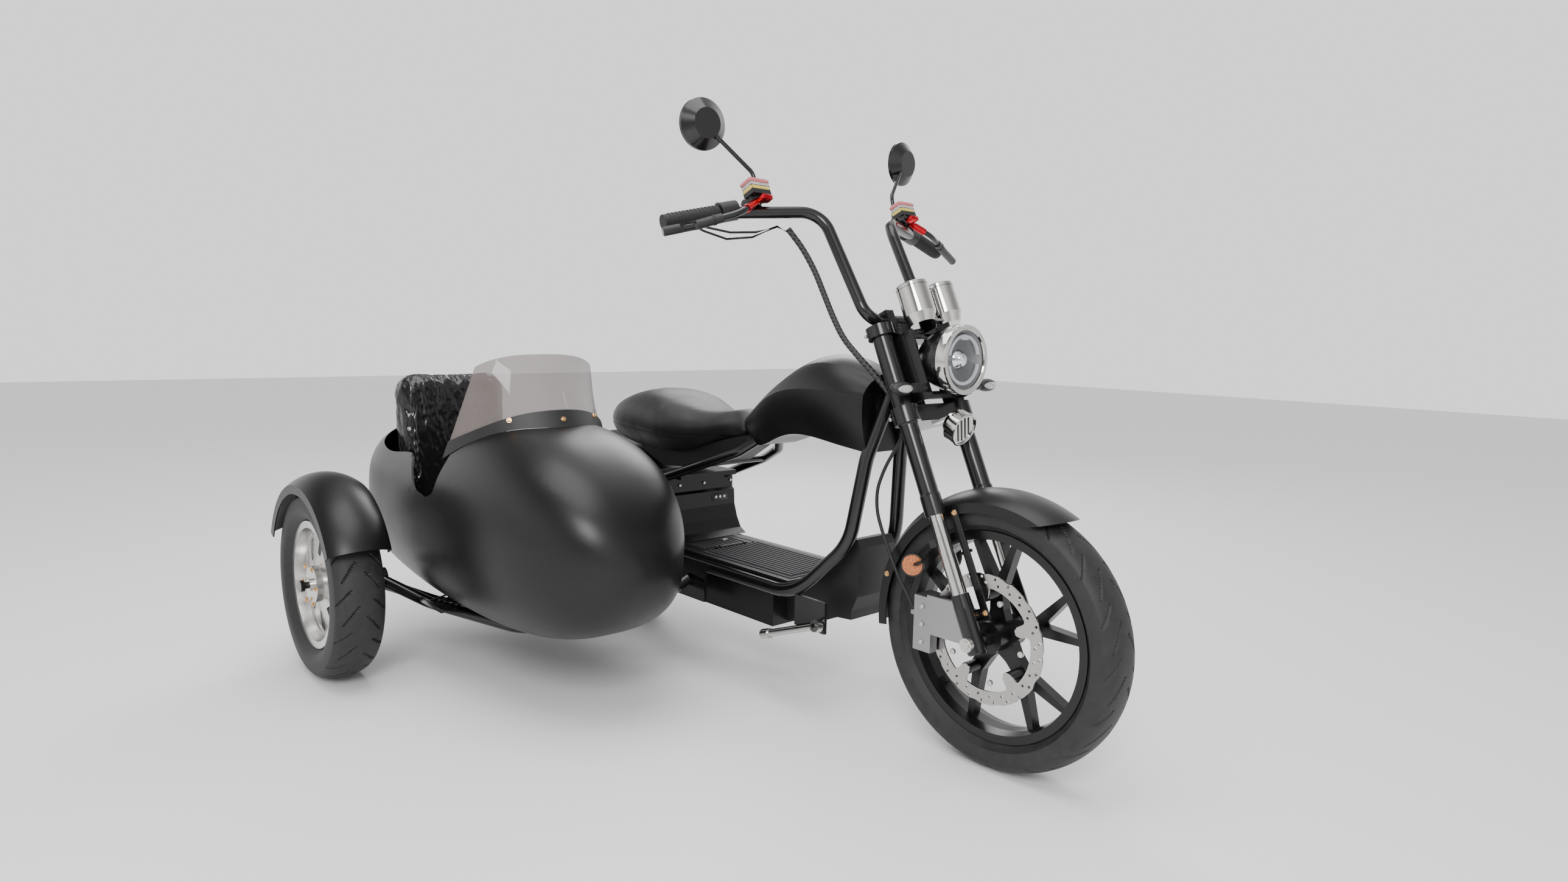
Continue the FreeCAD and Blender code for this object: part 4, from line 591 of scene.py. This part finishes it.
class SoftSizes(bpy.types.PropertyGroup):
    voxel: bpy.props.FloatProperty(
        name="Voxel", description="Grain of the remeshed pads", default=0.006, unit="LENGTH")
    pressure: bpy.props.FloatProperty(
        name="Pressure", description="Air pressure that swells the pads", default=4.0)
    cap: bpy.props.FloatProperty(
        name="Swell", description="Furthest that a point of a pad moves", default=0.007, unit="LENGTH")


class StageSizes(bpy.types.PropertyGroup):
    floor_half: bpy.props.FloatProperty(
        name="Floor", description="Half the floor's width", default=14.0, unit="LENGTH")
    floor_colour: bpy.props.FloatVectorProperty(
        name="Floor colour", description="Pale floor", subtype="COLOR", size=3, default=(0.93, 0.93, 0.93),
        min=0, max=1)
    key_power: bpy.props.FloatProperty(
        name="Key light", description="Power of the softbox at the front", default=90.0, unit="POWER")


# ------------------------------------------------------------------ small parts
BAR_BEND = Vector((-146, 335, 1054))
BAR_END = Vector((-182, 468, 1036))
GRIP_INNER_END = (-147.8, 341.7, 1053.1)


def along_grip(distance, side):
    """A point of the left or right grip's line, so many millimetres in from the bar's end, on the fork."""
    spot = BAR_END + (BAR_BEND - BAR_END).normalized() * distance
    return Vector((spot.x, spot.y * side, spot.z))


def both(point):
    """A point and its mirror image across the scooter."""
    return [point, Vector((point.x, 2 * MIDDLE_Y - point.y, point.z))]


def make_grip_ribs():
    """Raised rings round the rubber grips."""
    shape = bmesh.new()
    ends = zip(both(on_fork(*GRIP_INNER_END)), both(on_fork(*BAR_END)))
    for inner, outer in ends:
        along = outer - inner
        for k in range(13):
            place = facing(inner + along * (0.08 + 0.07 * k), along)
            cylinder(shape, place, 0.0186, -0.0022, 0.0022, 36, bevel=0.0007)
    finish_piece("grip_ribs", shape, "fork", "rubber")


def make_light_inside():
    """Reflector bowl, projector and pale running ring behind the headlight's glass."""
    low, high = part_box("headlight_ring")
    middle = (low + high) / 2
    bezel = 0.0085
    radius = (high.z - low.z) / 2 - bezel
    place = facing(Vector((low.x, middle.y, middle.z)), (1, 0, 0))
    bowl = bmesh.new()
    turned(bowl, place, [(0.0005, 0.001), (0.03, 0.001), (0.042, 0.003), (0.058, 0.012), (radius, 0.019),
                         (radius, 0.0215), (0.056, 0.014), (0.04, 0.005), (0.0005, 0.003)], 64)
    finish_piece("headlight_reflector", bowl, "fork", "smoked_chrome")
    ring = bmesh.new()
    ring_radius, ring_rise = 0.052, 0.0165
    for start in (0.25, math.pi + 0.25):
        arc = [place @ Vector((ring_radius * math.cos(turn), ring_radius * math.sin(turn), ring_rise))
               for turn in (start + t * 0.1 for t in range(28))]
        tube(ring, arc, 0.0042, 12)
    block(ring, place @ Matrix.Translation((0, 0.047, 0.017)), (0.022, 0.008, 0.006), 0.0015)
    finish_piece("headlight_running_ring", ring, "fork", "light")
    eye = bmesh.new()
    turned(eye, place, [(0.0005, 0.012), (0.016, 0.012), (0.021, 0.007), (0.024, 0.003), (0.024, 0.001)], 40)
    turned(eye, place, [(0.0005, 0.021), (0.008, 0.0202), (0.0135, 0.017), (0.016, 0.012)], 40)
    finish_piece("headlight_projector", eye, "fork", "mirror")
    glass = bmesh.new()
    dome = [(0.0005, 0.0305), (0.02, 0.0298), (0.04, 0.0272), (0.056, 0.0238), (radius - 0.0008, 0.0222)]
    turned(glass, place, dome + [(r, h - 0.0018) for r, h in reversed(dome)] + [dome[0]], 72)
    finish_piece("headlight_glass", glass, "fork", "lens", ("headlight_lens",))
    trim = bmesh.new()
    turned(trim, place, [(radius + 0.0095, 0.0), (radius + 0.0095, 0.019), (radius + 0.006, 0.0252),
                         (radius - 0.001, 0.0257), (radius - 0.003, 0.0232)], 72)
    finish_piece("headlight_trim", trim, "fork", "chrome")


def make_gauge_faces():
    """Dials set into the tops of the chromed cups, with plain ticks and a needle."""
    rim = [(0.0322, 0.0), (0.0322, 0.0045), (0.0345, 0.0052), (0.0362, 0.003), (0.0362, -0.004)]
    face, marks, rims = bmesh.new(), bmesh.new(), bmesh.new()
    for side in (-1, 1):
        place = facing(on_fork(82, side * 46, 777), STEERING)
        cylinder(face, place, 0.0322, -0.0005, 0.0008, 48)
        turned(rims, place, rim, 48)
        for k in range(21):
            turn = Matrix.Rotation(math.radians(-130 + 13 * k), 4, "Z")
            length = 0.006 if k % 5 == 0 else 0.0035
            block(marks, place @ turn @ Matrix.Translation((0, 0.0285 - length / 2, 0.0011)),
                  (0.0009, length, 0.0006))
        block(marks, place @ Matrix.Rotation(2.1, 4, "Z") @ Matrix.Translation((0, 0.01, 0.002)),
              (0.0014, 0.026, 0.0008))
        cylinder(marks, place, 0.0035, 0.0008, 0.0034, 24, bevel=0.0005)
    finish_piece("gauge_dials", face, "fork", "dial")
    finish_piece("gauge_marks", marks, "fork", "light")
    finish_piece("gauge_rims", rims, "fork", "chrome")


def make_mirror_glass():
    """Mirror glass on the rider's side of each mirror."""
    glass = bmesh.new()
    for side in (1, -1):
        head = Vector((-109, side * 345, 1256))
        turn = Vector((-0.86, side * -0.12, 0.42)).normalized()
        spot = on_fork(*(head + turn * 12.2))
        look = FORWARD * turn.x + LEFT * turn.y + STEERING * turn.z
        cylinder(glass, facing(spot, look), 0.0545, 0, 0.0008, 64, top=0.0538)
    finish_piece("mirror_glasses", glass, "fork", "mirror")


def make_control_trim():
    """Reservoir windows and caps, lever knuckles and sleeves, and switch buttons."""
    caps, fluid, clear = bmesh.new(), bmesh.new(), bmesh.new()
    red, buttons, sleeves = bmesh.new(), bmesh.new(), bmesh.new()
    upright = Matrix((FORWARD, LEFT, STEERING)).transposed().to_4x4()
    for spot in both(on_fork(*(along_grip(221, 1) + Vector((30, 0, 38))))):
        place = Matrix.Translation(spot) @ upright
        block(fluid, place @ Matrix.Translation((0, 0, -0.013)), (0.0352, 0.0556, 0.011), 0.003)
        block(clear, place @ Matrix.Translation((0, 0, -0.004)), (0.036, 0.0565, 0.009), 0.003)
        block(caps, place @ Matrix.Translation((0, 0, 0.0045)), (0.0385, 0.06, 0.01), 0.004)
        block(caps, place @ Matrix.Translation((0, 0, 0.0105)), (0.03, 0.05, 0.003), 0.0012)
        for side in (-1, 1):
            cap_bolt(buttons, place @ Matrix.Translation((side * 0.012, side * 0.019, 0.0118)), 2.4)
        knuckle = place @ Matrix.Translation((0.02, 0, -0.043))
        block(red, knuckle, (0.024, 0.03, 0.013), 0.004)
    for side in (1, -1):
        root = along_grip(198, side) + Vector((38.9, 0, -8.4))
        way = Vector((-84, 330 * side, 1022)) - root
        points = [on_fork(*(root + way * t)) for t in (-0.25, 0.0, 0.2, 0.4, 0.6)]
        tube(red, points, 0.0092, 16)
        outer = [on_fork(x, side * y, z)
                 for x, y, z in ((-103, 373, 1014), (-128, 430, 1004), (-143, 465, 1001), (-158, 499, 998))]
        tube(sleeves, outer, 0.0103, 20)
        for share in (0.3, 0.36):
            spot = outer[0].lerp(outer[1], share)
            cylinder(sleeves, facing(spot, outer[1] - outer[0]), 0.0116, -0.0012, 0.0012, 24, bevel=0.0005)
        pod = along_grip(158, side)
        for k in range(3):
            spot = on_fork(*(pod + Vector((-22.5, (k - 1) * 9 * side, 4 - 3 * k))))
            cylinder(buttons, facing(spot, -FORWARD), 0.0038, -0.001, 0.003, 20, bevel=0.0008)
    finish_piece("reservoir_caps", caps, "fork", "pink")
    finish_piece("reservoir_fluid", fluid, "fork", "fluid")
    finish_piece("reservoir_windows", clear, "fork", "white_lens")
    finish_piece("lever_sleeves", sleeves, "fork", "plastic")
    finish_piece("lever_knuckles", red, "fork", "red")
    finish_piece("switch_buttons", buttons, "fork", "steel")


def make_loom_leads():
    """The two thin leads that leave the loom's top for the switches."""
    shape = bmesh.new()
    top = at(-516, -176, 1166)
    pod = on_fork(-165, -405, 1032)
    for sag, drift in ((0.016, 0.0), (0.03, 0.012)):
        points = [top + Vector((0.004, 0.002, -0.01)), top.lerp(pod, 0.12) + Vector((0, 0, 0.004))]
        points += [top.lerp(pod, share) - Vector((drift, 0, sag * dip))
                   for share, dip in ((0.35, 0.75), (0.62, 1.0), (0.86, 0.5))]
        points.append(pod - Vector((drift, 0, 0)))
        tube(shape, points, 0.0026, 12)
    finish_piece("loom_leads", shape, "fork", "rubber")


def almond(shape, spot, sizes):
    """A rounded lens, by its half sizes."""
    place = Matrix.Translation(spot) @ Matrix.Diagonal((*sizes, 1))
    bmesh.ops.create_uvsphere(shape, u_segments=32, v_segments=16, radius=1.0, matrix=place)


def make_lamps():
    """Clear almond lenses on the front indicators, amber ones behind, and ribbed stalks."""
    lenses, stalks, amber = bmesh.new(), bmesh.new(), bmesh.new()
    for side in (1, -1):
        spot = on_fork(56, 152 * side, 549)
        almond(lenses, spot + Vector((0.0022, 0, 0)), (0.0182, 0.0285, 0.0122))
        for k in range(5):
            ring = facing(on_fork(56, (84 + 7 * k) * side, 549), LEFT)
            cylinder(stalks, ring, 0.0105, -0.0018, 0.0018, 24, bevel=0.0006)
    low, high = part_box("rear_lights")
    inset = 0.029
    for y in (low.y + inset, high.y - inset):
        spot = Vector((REAR_AXLE.x - 0.262, y, REAR_AXLE.z + 0.136))
        almond(amber, spot, (0.0176, 0.0288, 0.0146))
    finish_piece("front_indicator_lenses", lenses, "fork", "white_lens")
    finish_piece("front_indicator_stalks", stalks, "fork", "rubber")
    finish_piece("rear_indicator_lenses", amber, "chassis", "amber")
    trim = bmesh.new()
    place = facing(Vector((low.x + 0.0035, MIDDLE_Y, REAR_AXLE.z + 0.128)), (-1, 0, 0))
    turned(trim, place, [(0.0362, -0.02), (0.0385, -0.018), (0.0385, 0.001), (0.033, 0.0032)], 48)
    finish_piece("tail_lamp_ring", trim, "chassis", "chrome")


def make_reflectors():
    """Round amber reflectors in black cups, on brackets behind the fork's legs."""
    cups, discs = bmesh.new(), bmesh.new()
    for side in (-1, 1):
        spot = at(-187, 78 * side, 419)
        place = facing(spot, Vector((0.55, side, 0.05)))
        cylinder(cups, place, 0.0265, -0.006, 0.0045, 48, bevel=0.0012)
        cylinder(discs, place, 0.0238, 0.0035, 0.0062, 48, top=0.0225)
        for k in range(8):
            turn = place @ Matrix.Rotation(k * math.pi / 4, 4, "Z")
            block(discs, turn @ Matrix.Translation((0.0115, 0, 0.0064)), (0.021, 0.0012, 0.001))
        tube(cups, [spot - place.to_3x3() @ Vector((0, 0, 0.003)), at(-170, 84 * side, 425),
                    at(-150, 90 * side, 436)], 0.004, 12)
    finish_piece("reflector_cups", cups, "fork", "plastic")
    finish_piece("reflector_discs", discs, "fork", "amber")


def make_horn_grille():
    """Dark slots across the horn's face, and its rolled rim."""
    turn = Matrix.Rotation(math.radians(20), 3, "Y")
    look = turn @ Vector((1, 0, 0))
    place = facing(on_fork(56, 5, 452) + look * 0.0098, look)
    grille = bmesh.new()
    rim = [(0.0345, 0.0), (0.0345, 0.003), (0.0365, 0.0045), (0.0392, 0.003), (0.0392, -0.004)]
    turned(grille, place, rim, 56)
    finish_piece("horn_rim", grille, "fork", "chrome")
    slats = bmesh.new()
    for shift in (-0.0165, -0.0055, 0.0055, 0.0165):
        reach = math.sqrt(0.029 ** 2 - shift ** 2)
        block(slats, place @ Matrix.Rotation(0.5, 4, "Z") @ Matrix.Translation((shift, 0, 0.0006)),
              (0.0042, 2 * reach, 0.0016), 0.0007)
    finish_piece("horn_slats", slats, "fork", "dial")


def make_floor_mat():
    """Ribbed rubber mat, and the hatch's ribs and latch."""
    low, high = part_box("floorboard")
    plate = 0.008
    top = low.z + plate
    rear, front = at(-915, 0, 0).x, high.x - 0.012
    mat = bmesh.new()
    middle = Vector(((rear + front) / 2, MIDDLE_Y, top + 0.0012))
    block(mat, Matrix.Translation(middle), (front - rear, 0.206, 0.002), 0.0008)
    for k in range(-6, 7):
        block(mat, Matrix.Translation(middle + Vector((0, k * 0.0145, 0.0025))),
              (front - rear - 0.02, 0.0085, 0.0042), 0.0014)
    finish_piece("floor_mat", mat, "chassis", "mat")
    latch = bmesh.new()
    spot = at(-1000, 42, 312.2)
    cylinder(latch, Matrix.Translation(spot), 0.011, 0, 0.002, 32, bevel=0.0006)
    block(latch, Matrix.Translation(spot + Vector((0, 0, 0.0028))), (0.004, 0.014, 0.002), 0.0006)
    finish_piece("lid_latch", latch, "battery_lid", "steel")
    ribs = bmesh.new()
    for k in range(-5, 6):
        block(ribs, Matrix.Translation(at(-976, k * 14.5, 313.2)), (0.07, 0.008, 0.0022), 0.0008)
    finish_piece("lid_ribs", ribs, "battery_lid", "mat")


def make_charging_port():
    """The charging socket's flap and its rivets, on the panel under the saddle."""
    spot = at(-1097, 99, 421)
    plate = bmesh.new()
    place = facing(spot - Vector((0.006, 0, 0)), (1, 0, 0.1), math.pi / 2)
    block(plate, place, (0.026, 0.064, 0.02), 0.006)
    finish_piece("charging_flap", plate, "chassis", "plastic")
    pins = bmesh.new()
    for k in (-1, 0, 1):
        cylinder(pins, place @ Matrix.Translation((0, k * 0.016, 0.0095)), 0.0042, 0, 0.0016, 20)
    finish_piece("charging_flap_rivets", pins, "chassis", "steel")


def make_springs():
    """Coils of the rear shocks."""
    coils = bmesh.new()
    reach = 0.148
    for side in (-1, 1):
        low = REAR_AXLE + Vector((0.078, side * reach, 0.01))
        high = REAR_AXLE + Vector((0.138, side * reach, 0.18))
        run = (high - low).normalized()
        spring(coils, low + run * 0.038, high - run * 0.032, 0.0242, 0.0038, 8)
    finish_piece("shock_springs", coils, "chassis", "chrome")


def make_step_plate():
    """Slatted step on the sidecar's tubes, between the tub and the wheel."""
    shape = bmesh.new()
    middle = at(-1262, -690, 195)
    long_half, wide_half = 0.055, 0.04
    for k in range(5):
        block(shape, Matrix.Translation(middle + Vector((0.026 * (k - 2), 0, 0)))
              @ Matrix.Rotation(0.5, 4, "Z"), (0.008, 2 * wide_half, 0.003), 0.001)
    for side in (-1, 1):
        block(shape, Matrix.Translation(middle + Vector((0, side * wide_half, 0))),
              (2 * long_half + 0.03, 0.008, 0.012), 0.0015)
    finish_piece("step_plate", shape, "chassis", "frame")


def make_sidecar_shell():
    """The sidecar's tub, with its blunt nose drawn out to a smooth dome."""
    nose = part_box("sidecar_body")[1].x
    shape = bmesh.new()
    shape.from_mesh(frame["nodes"]["sidecar_body"].data)
    bmesh.ops.remove_doubles(shape, verts=shape.verts, dist=1e-5)
    blunt = [f for f in shape.faces if f.calc_center_median().x > nose - 1e-4 and f.normal.x > 0.999]
    if not blunt:
        raise RuntimeError("the sidecar's nose has no flat end")
    bmesh.ops.delete(shape, geom=blunt, context="FACES_ONLY")
    rim = [e for e in shape.edges if e.is_boundary]
    slopes = [math.tan(math.acos(min(1.0, e.link_faces[0].normal.x))) for e in rim]
    corners = list({v for e in rim for v in e.verts})
    centre = sum((v.co for v in corners), Vector()) / len(corners)
    reach = sum((v.co - centre).length for v in corners) / len(corners)
    height = 0.5 * reach * sum(slopes) / len(slopes)
    rings, last = 9, 1.0
    for k in range(1, rings):
        share = math.cos(math.pi / 2 * k / rings)
        grown = bmesh.ops.extrude_edge_only(shape, edges=rim)["geom"]
        for v in (g for g in grown if isinstance(g, bmesh.types.BMVert)):
            offset = (v.co - centre) * (share / last)
            v.co = Vector((centre.x + height * (1 - share * share), centre.y + offset.y, centre.z + offset.z))
        rim, last = [g for g in grown if isinstance(g, bmesh.types.BMEdge)], share
    tip = list({v for e in rim for v in e.verts})
    bmesh.ops.pointmerge(shape, verts=tip, merge_co=centre + Vector((height, 0, 0)))
    finish_piece("sidecar_shell", shape, "chassis", "satin", ("sidecar_body",))


def ring_of(centre, axis, radius, count, start=0.0):
    """Matrices spaced on a circle that face along its axis."""
    place, outwards = facing(centre, axis), Matrix.Translation((radius, 0, 0))
    for k in range(count):
        yield place @ Matrix.Rotation(start + 2 * math.pi * k / count, 4, "Z") @ outwards


def make_bolts():
    """Gold flanged bolts on fenders, stays and screen, and plain ones elsewhere, joined by body."""
    gold_fork, gold_chassis, plain_fork, plain_wheel = bmesh.new(), bmesh.new(), bmesh.new(), bmesh.new()
    side_wheel, rear_wheel, chassis = bmesh.new(), bmesh.new(), bmesh.new()
    for side in (-1, 1):
        out = LEFT * side
        for forward, up, proud in ((31, 272, 72.4), (31, 52, 72.4), (14, 52, 72.4)):
            hex_bolt(gold_fork, facing(on_fork(forward, side * proud, up), out), 4.6)
        for angle in (118, 162):
            spot = FRONT_AXLE + Vector((0.283 * math.cos(math.radians(angle)), side * 0.0692,
                                        0.283 * math.sin(math.radians(angle))))
            hex_bolt(gold_fork, facing(spot, out), 4.6)
        for forward, up in ((-24, 505), (-24, 702)):
            cap_bolt(plain_fork, facing(on_fork(forward, side * 118, up), out), 4)
        for forward in (-9, -27):
            cap_bolt(plain_fork, facing(on_fork(forward, side * 45, 758), STEERING), 3.4)
    for y, z in ((-31, -40), (-31, 40), (-31, 0)):
        spot = FRONT_AXLE + Vector((-0.146, -0.057 + y * MM, 0.003 + z * MM))
        cap_bolt(plain_fork, facing(spot, -LEFT), 5.5)
    for place in ring_of(FRONT_AXLE + Vector((0, -0.0592, 0)), -LEFT, 0.092, 5, math.radians(90 - 23)):
        cap_bolt(plain_wheel, place, 6.5)
    for place in ring_of(SIDE_AXLE + Vector((0, -0.05, 0)), -LEFT, 0.052, 6):
        hex_bolt(side_wheel, place, 5)
    for side in (-1, 1):
        for place in ring_of(REAR_AXLE + LEFT * side * 0.0642, LEFT * side, 0.098, 8):
            cap_bolt(rear_wheel, place, 4.5)
    for degrees in (-62, -36, 0, 36, 62):
        turn = math.radians(degrees)
        out = Vector((math.cos(turn), math.sin(turn), 0.25)).normalized()
        spot = screen_point(turn)
        if spot:
            hex_bolt(gold_chassis, facing(spot, out), 5.0)
    for y, z in ((45, 468), (147, 468), (-45, 468), (-147, 468)):
        cap_bolt(chassis, facing(at(-1105.5, y, z), (1, 0, 0)), 4)
    plate_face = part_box("plate_holder")[0].x
    for y in (-60, 60):
        spot = Vector((plate_face, MIDDLE_Y + y * MM, REAR_AXLE.z + 0.048))
        cap_bolt(chassis, facing(spot, (-1, 0, 0)), 4)
    finish_piece("fork_gold_bolts", gold_fork, "fork", "brass")
    finish_piece("screen_gold_bolts", gold_chassis, "chassis", "brass")
    finish_piece("fork_bolts", plain_fork, "fork", "steel")
    finish_piece("disc_bolts", plain_wheel, "front_wheel", "steel")
    finish_piece("sidecar_wheel_bolts", side_wheel, "sidecar_wheel", "brass")
    finish_piece("motor_cover_bolts", rear_wheel, "rear_wheel", "steel")
    finish_piece("chassis_bolts", chassis, "chassis", "steel")


def screen_point(turn):
    """Where a ray from inside the screen meets the outside of its lower band."""
    band = frame["nodes"]["windscreen_band"]
    low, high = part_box("windscreen_band")
    origin = Vector((low.x - 0.02, SIDECAR_Y, low.z + 0.62 * (high.z - low.z)))
    way = Vector((math.cos(turn), math.sin(turn), 0.12)).normalized()
    spot = None
    start = origin.copy()
    for _ in range(4):
        hit, where, _normal, _index = band.ray_cast(start, way)
        if not hit:
            break
        spot = where
        start = where + way * 0.0005
    return spot


# ------------------------------------------------------------------ operators
class CHOPPER_OT_finishes(bpy.types.Operator):
    """Make every finish and lay it on the frame's own pieces"""
    bl_idname = "chopper.finishes"
    bl_label = "Finishes"

    def execute(self, context):
        FINISH.update(make_finishes())
        for finish, names in NODE_FINISH.items():
            for name in names:
                mesh = frame["nodes"][name].data
                mesh.materials.clear()
                mesh.materials.append(FINISH[finish])
        return {"FINISHED"}


class CHOPPER_OT_tyres(bpy.types.Operator):
    """Three tyres with grooved treads"""
    bl_idname = "chopper.tyres"
    bl_label = "Tyres"

    def execute(self, context):
        sizes = context.scene.chopper_wheels
        for wheel, finish, axle, fewer in (("front", "tyre_front", FRONT_AXLE, 0),
                                           ("rear", "tyre_rear", REAR_AXLE, 3),
                                           ("sidecar", "tyre_side", SIDE_AXLE, 3)):
            make_tyre(wheel + "_tyre_tread", wheel + "_tyre", wheel + "_wheel", axle, finish,
                      sizes.pitches - fewer, sizes.lean, sizes.steps)
        return {"FINISHED"}


class CHOPPER_OT_pads(bpy.types.Operator):
    """Saddle, seat cushion and backrest as inflated vinyl"""
    bl_idname = "chopper.pads"
    bl_label = "Pads"

    def execute(self, context):
        sizes = context.scene.chopper_pads
        for name, node, finish, slot, shrink, swell, shaping in (
                ("saddle_pad", "saddle", "seat", "vinyl", 0.004, 1, saddle_shaping),
                ("sidecar_seat_pad", "sidecar_cushion", "cushion", "vinyl", 0.007, 2, cushion_shaping),
                ("sidecar_back_pad", "sidecar_backrest", "backrest", "backrest_vinyl", 0.008, 2,
                 backrest_shaping)):
            make_padded(name, node, "chassis", finish, sizes.voxel, shrink, swell * sizes.cap,
                        sizes.pressure, shaping)
        return {"FINISHED"}


def small_operator(idname, label, doc, *makers):
    """An operator class that runs a few making functions."""
    def execute(self, context):
        for maker in makers:
            maker()
        return {"FINISHED"}
    name = "CHOPPER_OT_" + idname
    return type(name, (bpy.types.Operator,), {"bl_idname": "chopper." + idname, "bl_label": label,
                                              "__doc__": doc, "execute": execute})


SMALL = [
    small_operator("headlight", "Headlight", "Reflector, projector, running ring and glass",
                   make_light_inside),
    small_operator("gauges", "Gauges", "Dials and their rims", make_gauge_faces),
    small_operator("mirrors", "Mirrors", "Mirror glasses", make_mirror_glass),
    small_operator("controls", "Controls", "Reservoirs, levers, buttons, grip ribs and the loom's leads",
                   make_control_trim, make_grip_ribs, make_loom_leads),
    small_operator("lamps", "Lamps", "Indicator lenses, tail lamp ring and reflectors",
                   make_lamps, make_reflectors),
    small_operator("horn", "Horn", "Rim and slots of the horn", make_horn_grille),
    small_operator("floor", "Footboard", "Ribbed mat, latch and charging flap",
                   make_floor_mat, make_charging_port),
    small_operator("springs", "Springs", "Coils of the rear shocks", make_springs),
    small_operator("shell", "Sidecar shell", "The tub with its rounded nose", make_sidecar_shell),
    small_operator("step", "Step", "Slatted step beside the tub", make_step_plate),
    small_operator("bolts", "Bolts", "Gold and plain bolts", make_bolts),
]


class CHOPPER_OT_stage(bpy.types.Operator):
    """Pale floor, soft lights and the camera"""
    bl_idname = "chopper.stage"
    bl_label = "Stage"

    def execute(self, context):
        sizes = context.scene.chopper_stage
        scene = context.scene
        floor = bmesh.new()
        bmesh.ops.create_grid(floor, x_segments=1, y_segments=1, size=sizes.floor_half)
        mesh = bpy.data.meshes.new("studio_floor")
        floor.to_mesh(mesh)
        floor.free()
        ground = bpy.data.objects.new("studio_floor", mesh)
        scene.collection.objects.link(ground)
        paint = Paint("pale_floor", Roughness=0.85)
        paint.feed("Base Color", (*sizes.floor_colour, 1))
        mesh.materials.append(paint.material)
        world = bpy.data.worlds.new("studio_world")
        world.use_nodes = True
        light_studio(world.node_tree)
        scene.world = world
        aim = Vector((-0.05, 0, 0.45))
        for name, spot, size, power in (("key_softbox", (2.6, -2.4, 2.6), 1.3, sizes.key_power),
                                        ("back_softbox", (-2.2, 2.4, 2.8), 1.8, sizes.key_power * 0.6),
                                        ("top_softbox", (0.2, -0.6, 3.4), 2.2, sizes.key_power * 0.6)):
            light = bpy.data.lights.new(name, "AREA")
            light.energy, light.size = power, size
            lamp = bpy.data.objects.new(name, light)
            lamp.matrix_world = facing(Vector(spot), Vector(spot) - aim)
            scene.collection.objects.link(lamp)
        scene.camera = make_camera(scene)
        return {"FINISHED"}


def light_studio(tree):
    """A plain pale backdrop, and round the object soft walls by turns brighter and darker."""
    nodes, links = tree.nodes, tree.links
    backdrop = nodes["Background"]
    backdrop.inputs["Color"].default_value = (1, 1, 1, 1)
    backdrop.inputs["Strength"].default_value = 1.35
    walls, mixer, path, place, waves, spread = (nodes.new("ShaderNode" + kind) for kind in (
        "Background", "MixShader", "LightPath", "TexCoord", "TexWave", "MapRange"))
    waves.wave_type, waves.bands_direction = "BANDS", "DIAGONAL"
    waves.inputs["Scale"].default_value = 0.32
    spread.inputs["To Min"].default_value, spread.inputs["To Max"].default_value = 0.35, 1.9
    links.new(place.outputs["Generated"], waves.inputs["Vector"])
    links.new(waves.outputs["Fac"], spread.inputs["Value"])
    links.new(spread.outputs["Result"], walls.inputs["Strength"])
    links.new(path.outputs["Is Camera Ray"], mixer.inputs["Fac"])
    links.new(walls.outputs["Background"], mixer.inputs[1])
    links.new(backdrop.outputs["Background"], mixer.inputs[2])
    links.new(mixer.outputs["Shader"], nodes["World Output"].inputs["Surface"])


def make_camera(scene):
    """The camera: a little above the bars, off the front right corner, looking slightly down."""
    focal_share, sweep, dip, roll = 0.605952, 0.745798, 0.119175, 0.022697
    spot = at(1137.69, -1701.5, 939.34)
    look = Vector((-math.cos(sweep) * math.cos(dip), math.sin(sweep) * math.cos(dip), -math.sin(dip)))
    right = Vector((math.sin(sweep), math.cos(sweep), 0))
    up = right.cross(look)
    level = Matrix((right * math.cos(roll) + up * math.sin(roll),
                    up * math.cos(roll) - right * math.sin(roll), -look)).transposed()
    data = bpy.data.cameras.new("camera")
    data.sensor_fit, data.sensor_width = "HORIZONTAL", 36.0
    data.lens = focal_share * data.sensor_width
    camera = bpy.data.objects.new("camera", data)
    camera.matrix_world = Matrix.Translation(spot) @ level.to_4x4()
    scene.collection.objects.link(camera)
    return camera


OPERATORS = [CHOPPER_OT_finishes, CHOPPER_OT_tyres, CHOPPER_OT_pads, *SMALL, CHOPPER_OT_stage]


class CHOPPER_PT_panel(bpy.types.Panel):
    """Sizes and steps of the chopper scooter"""
    bl_idname = "CHOPPER_PT_panel"
    bl_label = "Chopper scooter"
    bl_space_type = "VIEW_3D"
    bl_region_type = "UI"
    bl_category = "Chopper"

    def draw(self, context):
        for group in (context.scene.chopper_wheels, context.scene.chopper_pads, context.scene.chopper_stage):
            for name in group.__annotations__:
                self.layout.prop(group, name)
        for operator in OPERATORS:
            self.layout.operator(operator.bl_idname)


GROUPS = {"chopper_wheels": WheelSizes, "chopper_pads": SoftSizes, "chopper_stage": StageSizes}


def register():
    for group in GROUPS.values():
        bpy.utils.register_class(group)
    for name, group in GROUPS.items():
        setattr(bpy.types.Scene, name, bpy.props.PointerProperty(type=group))
    for operator in OPERATORS:
        bpy.utils.register_class(operator)
    bpy.utils.register_class(CHOPPER_PT_panel)


def unregister():
    bpy.utils.unregister_class(CHOPPER_PT_panel)
    for operator in reversed(OPERATORS):
        bpy.utils.unregister_class(operator)
    for name in GROUPS:
        delattr(bpy.types.Scene, name)
    for group in reversed(list(GROUPS.values())):
        bpy.utils.unregister_class(group)


def main():
    register()
    for operator in OPERATORS:
        getattr(bpy.ops.chopper, operator.bl_idname.split(".")[1])()


if __name__ == "__main__":
    main()
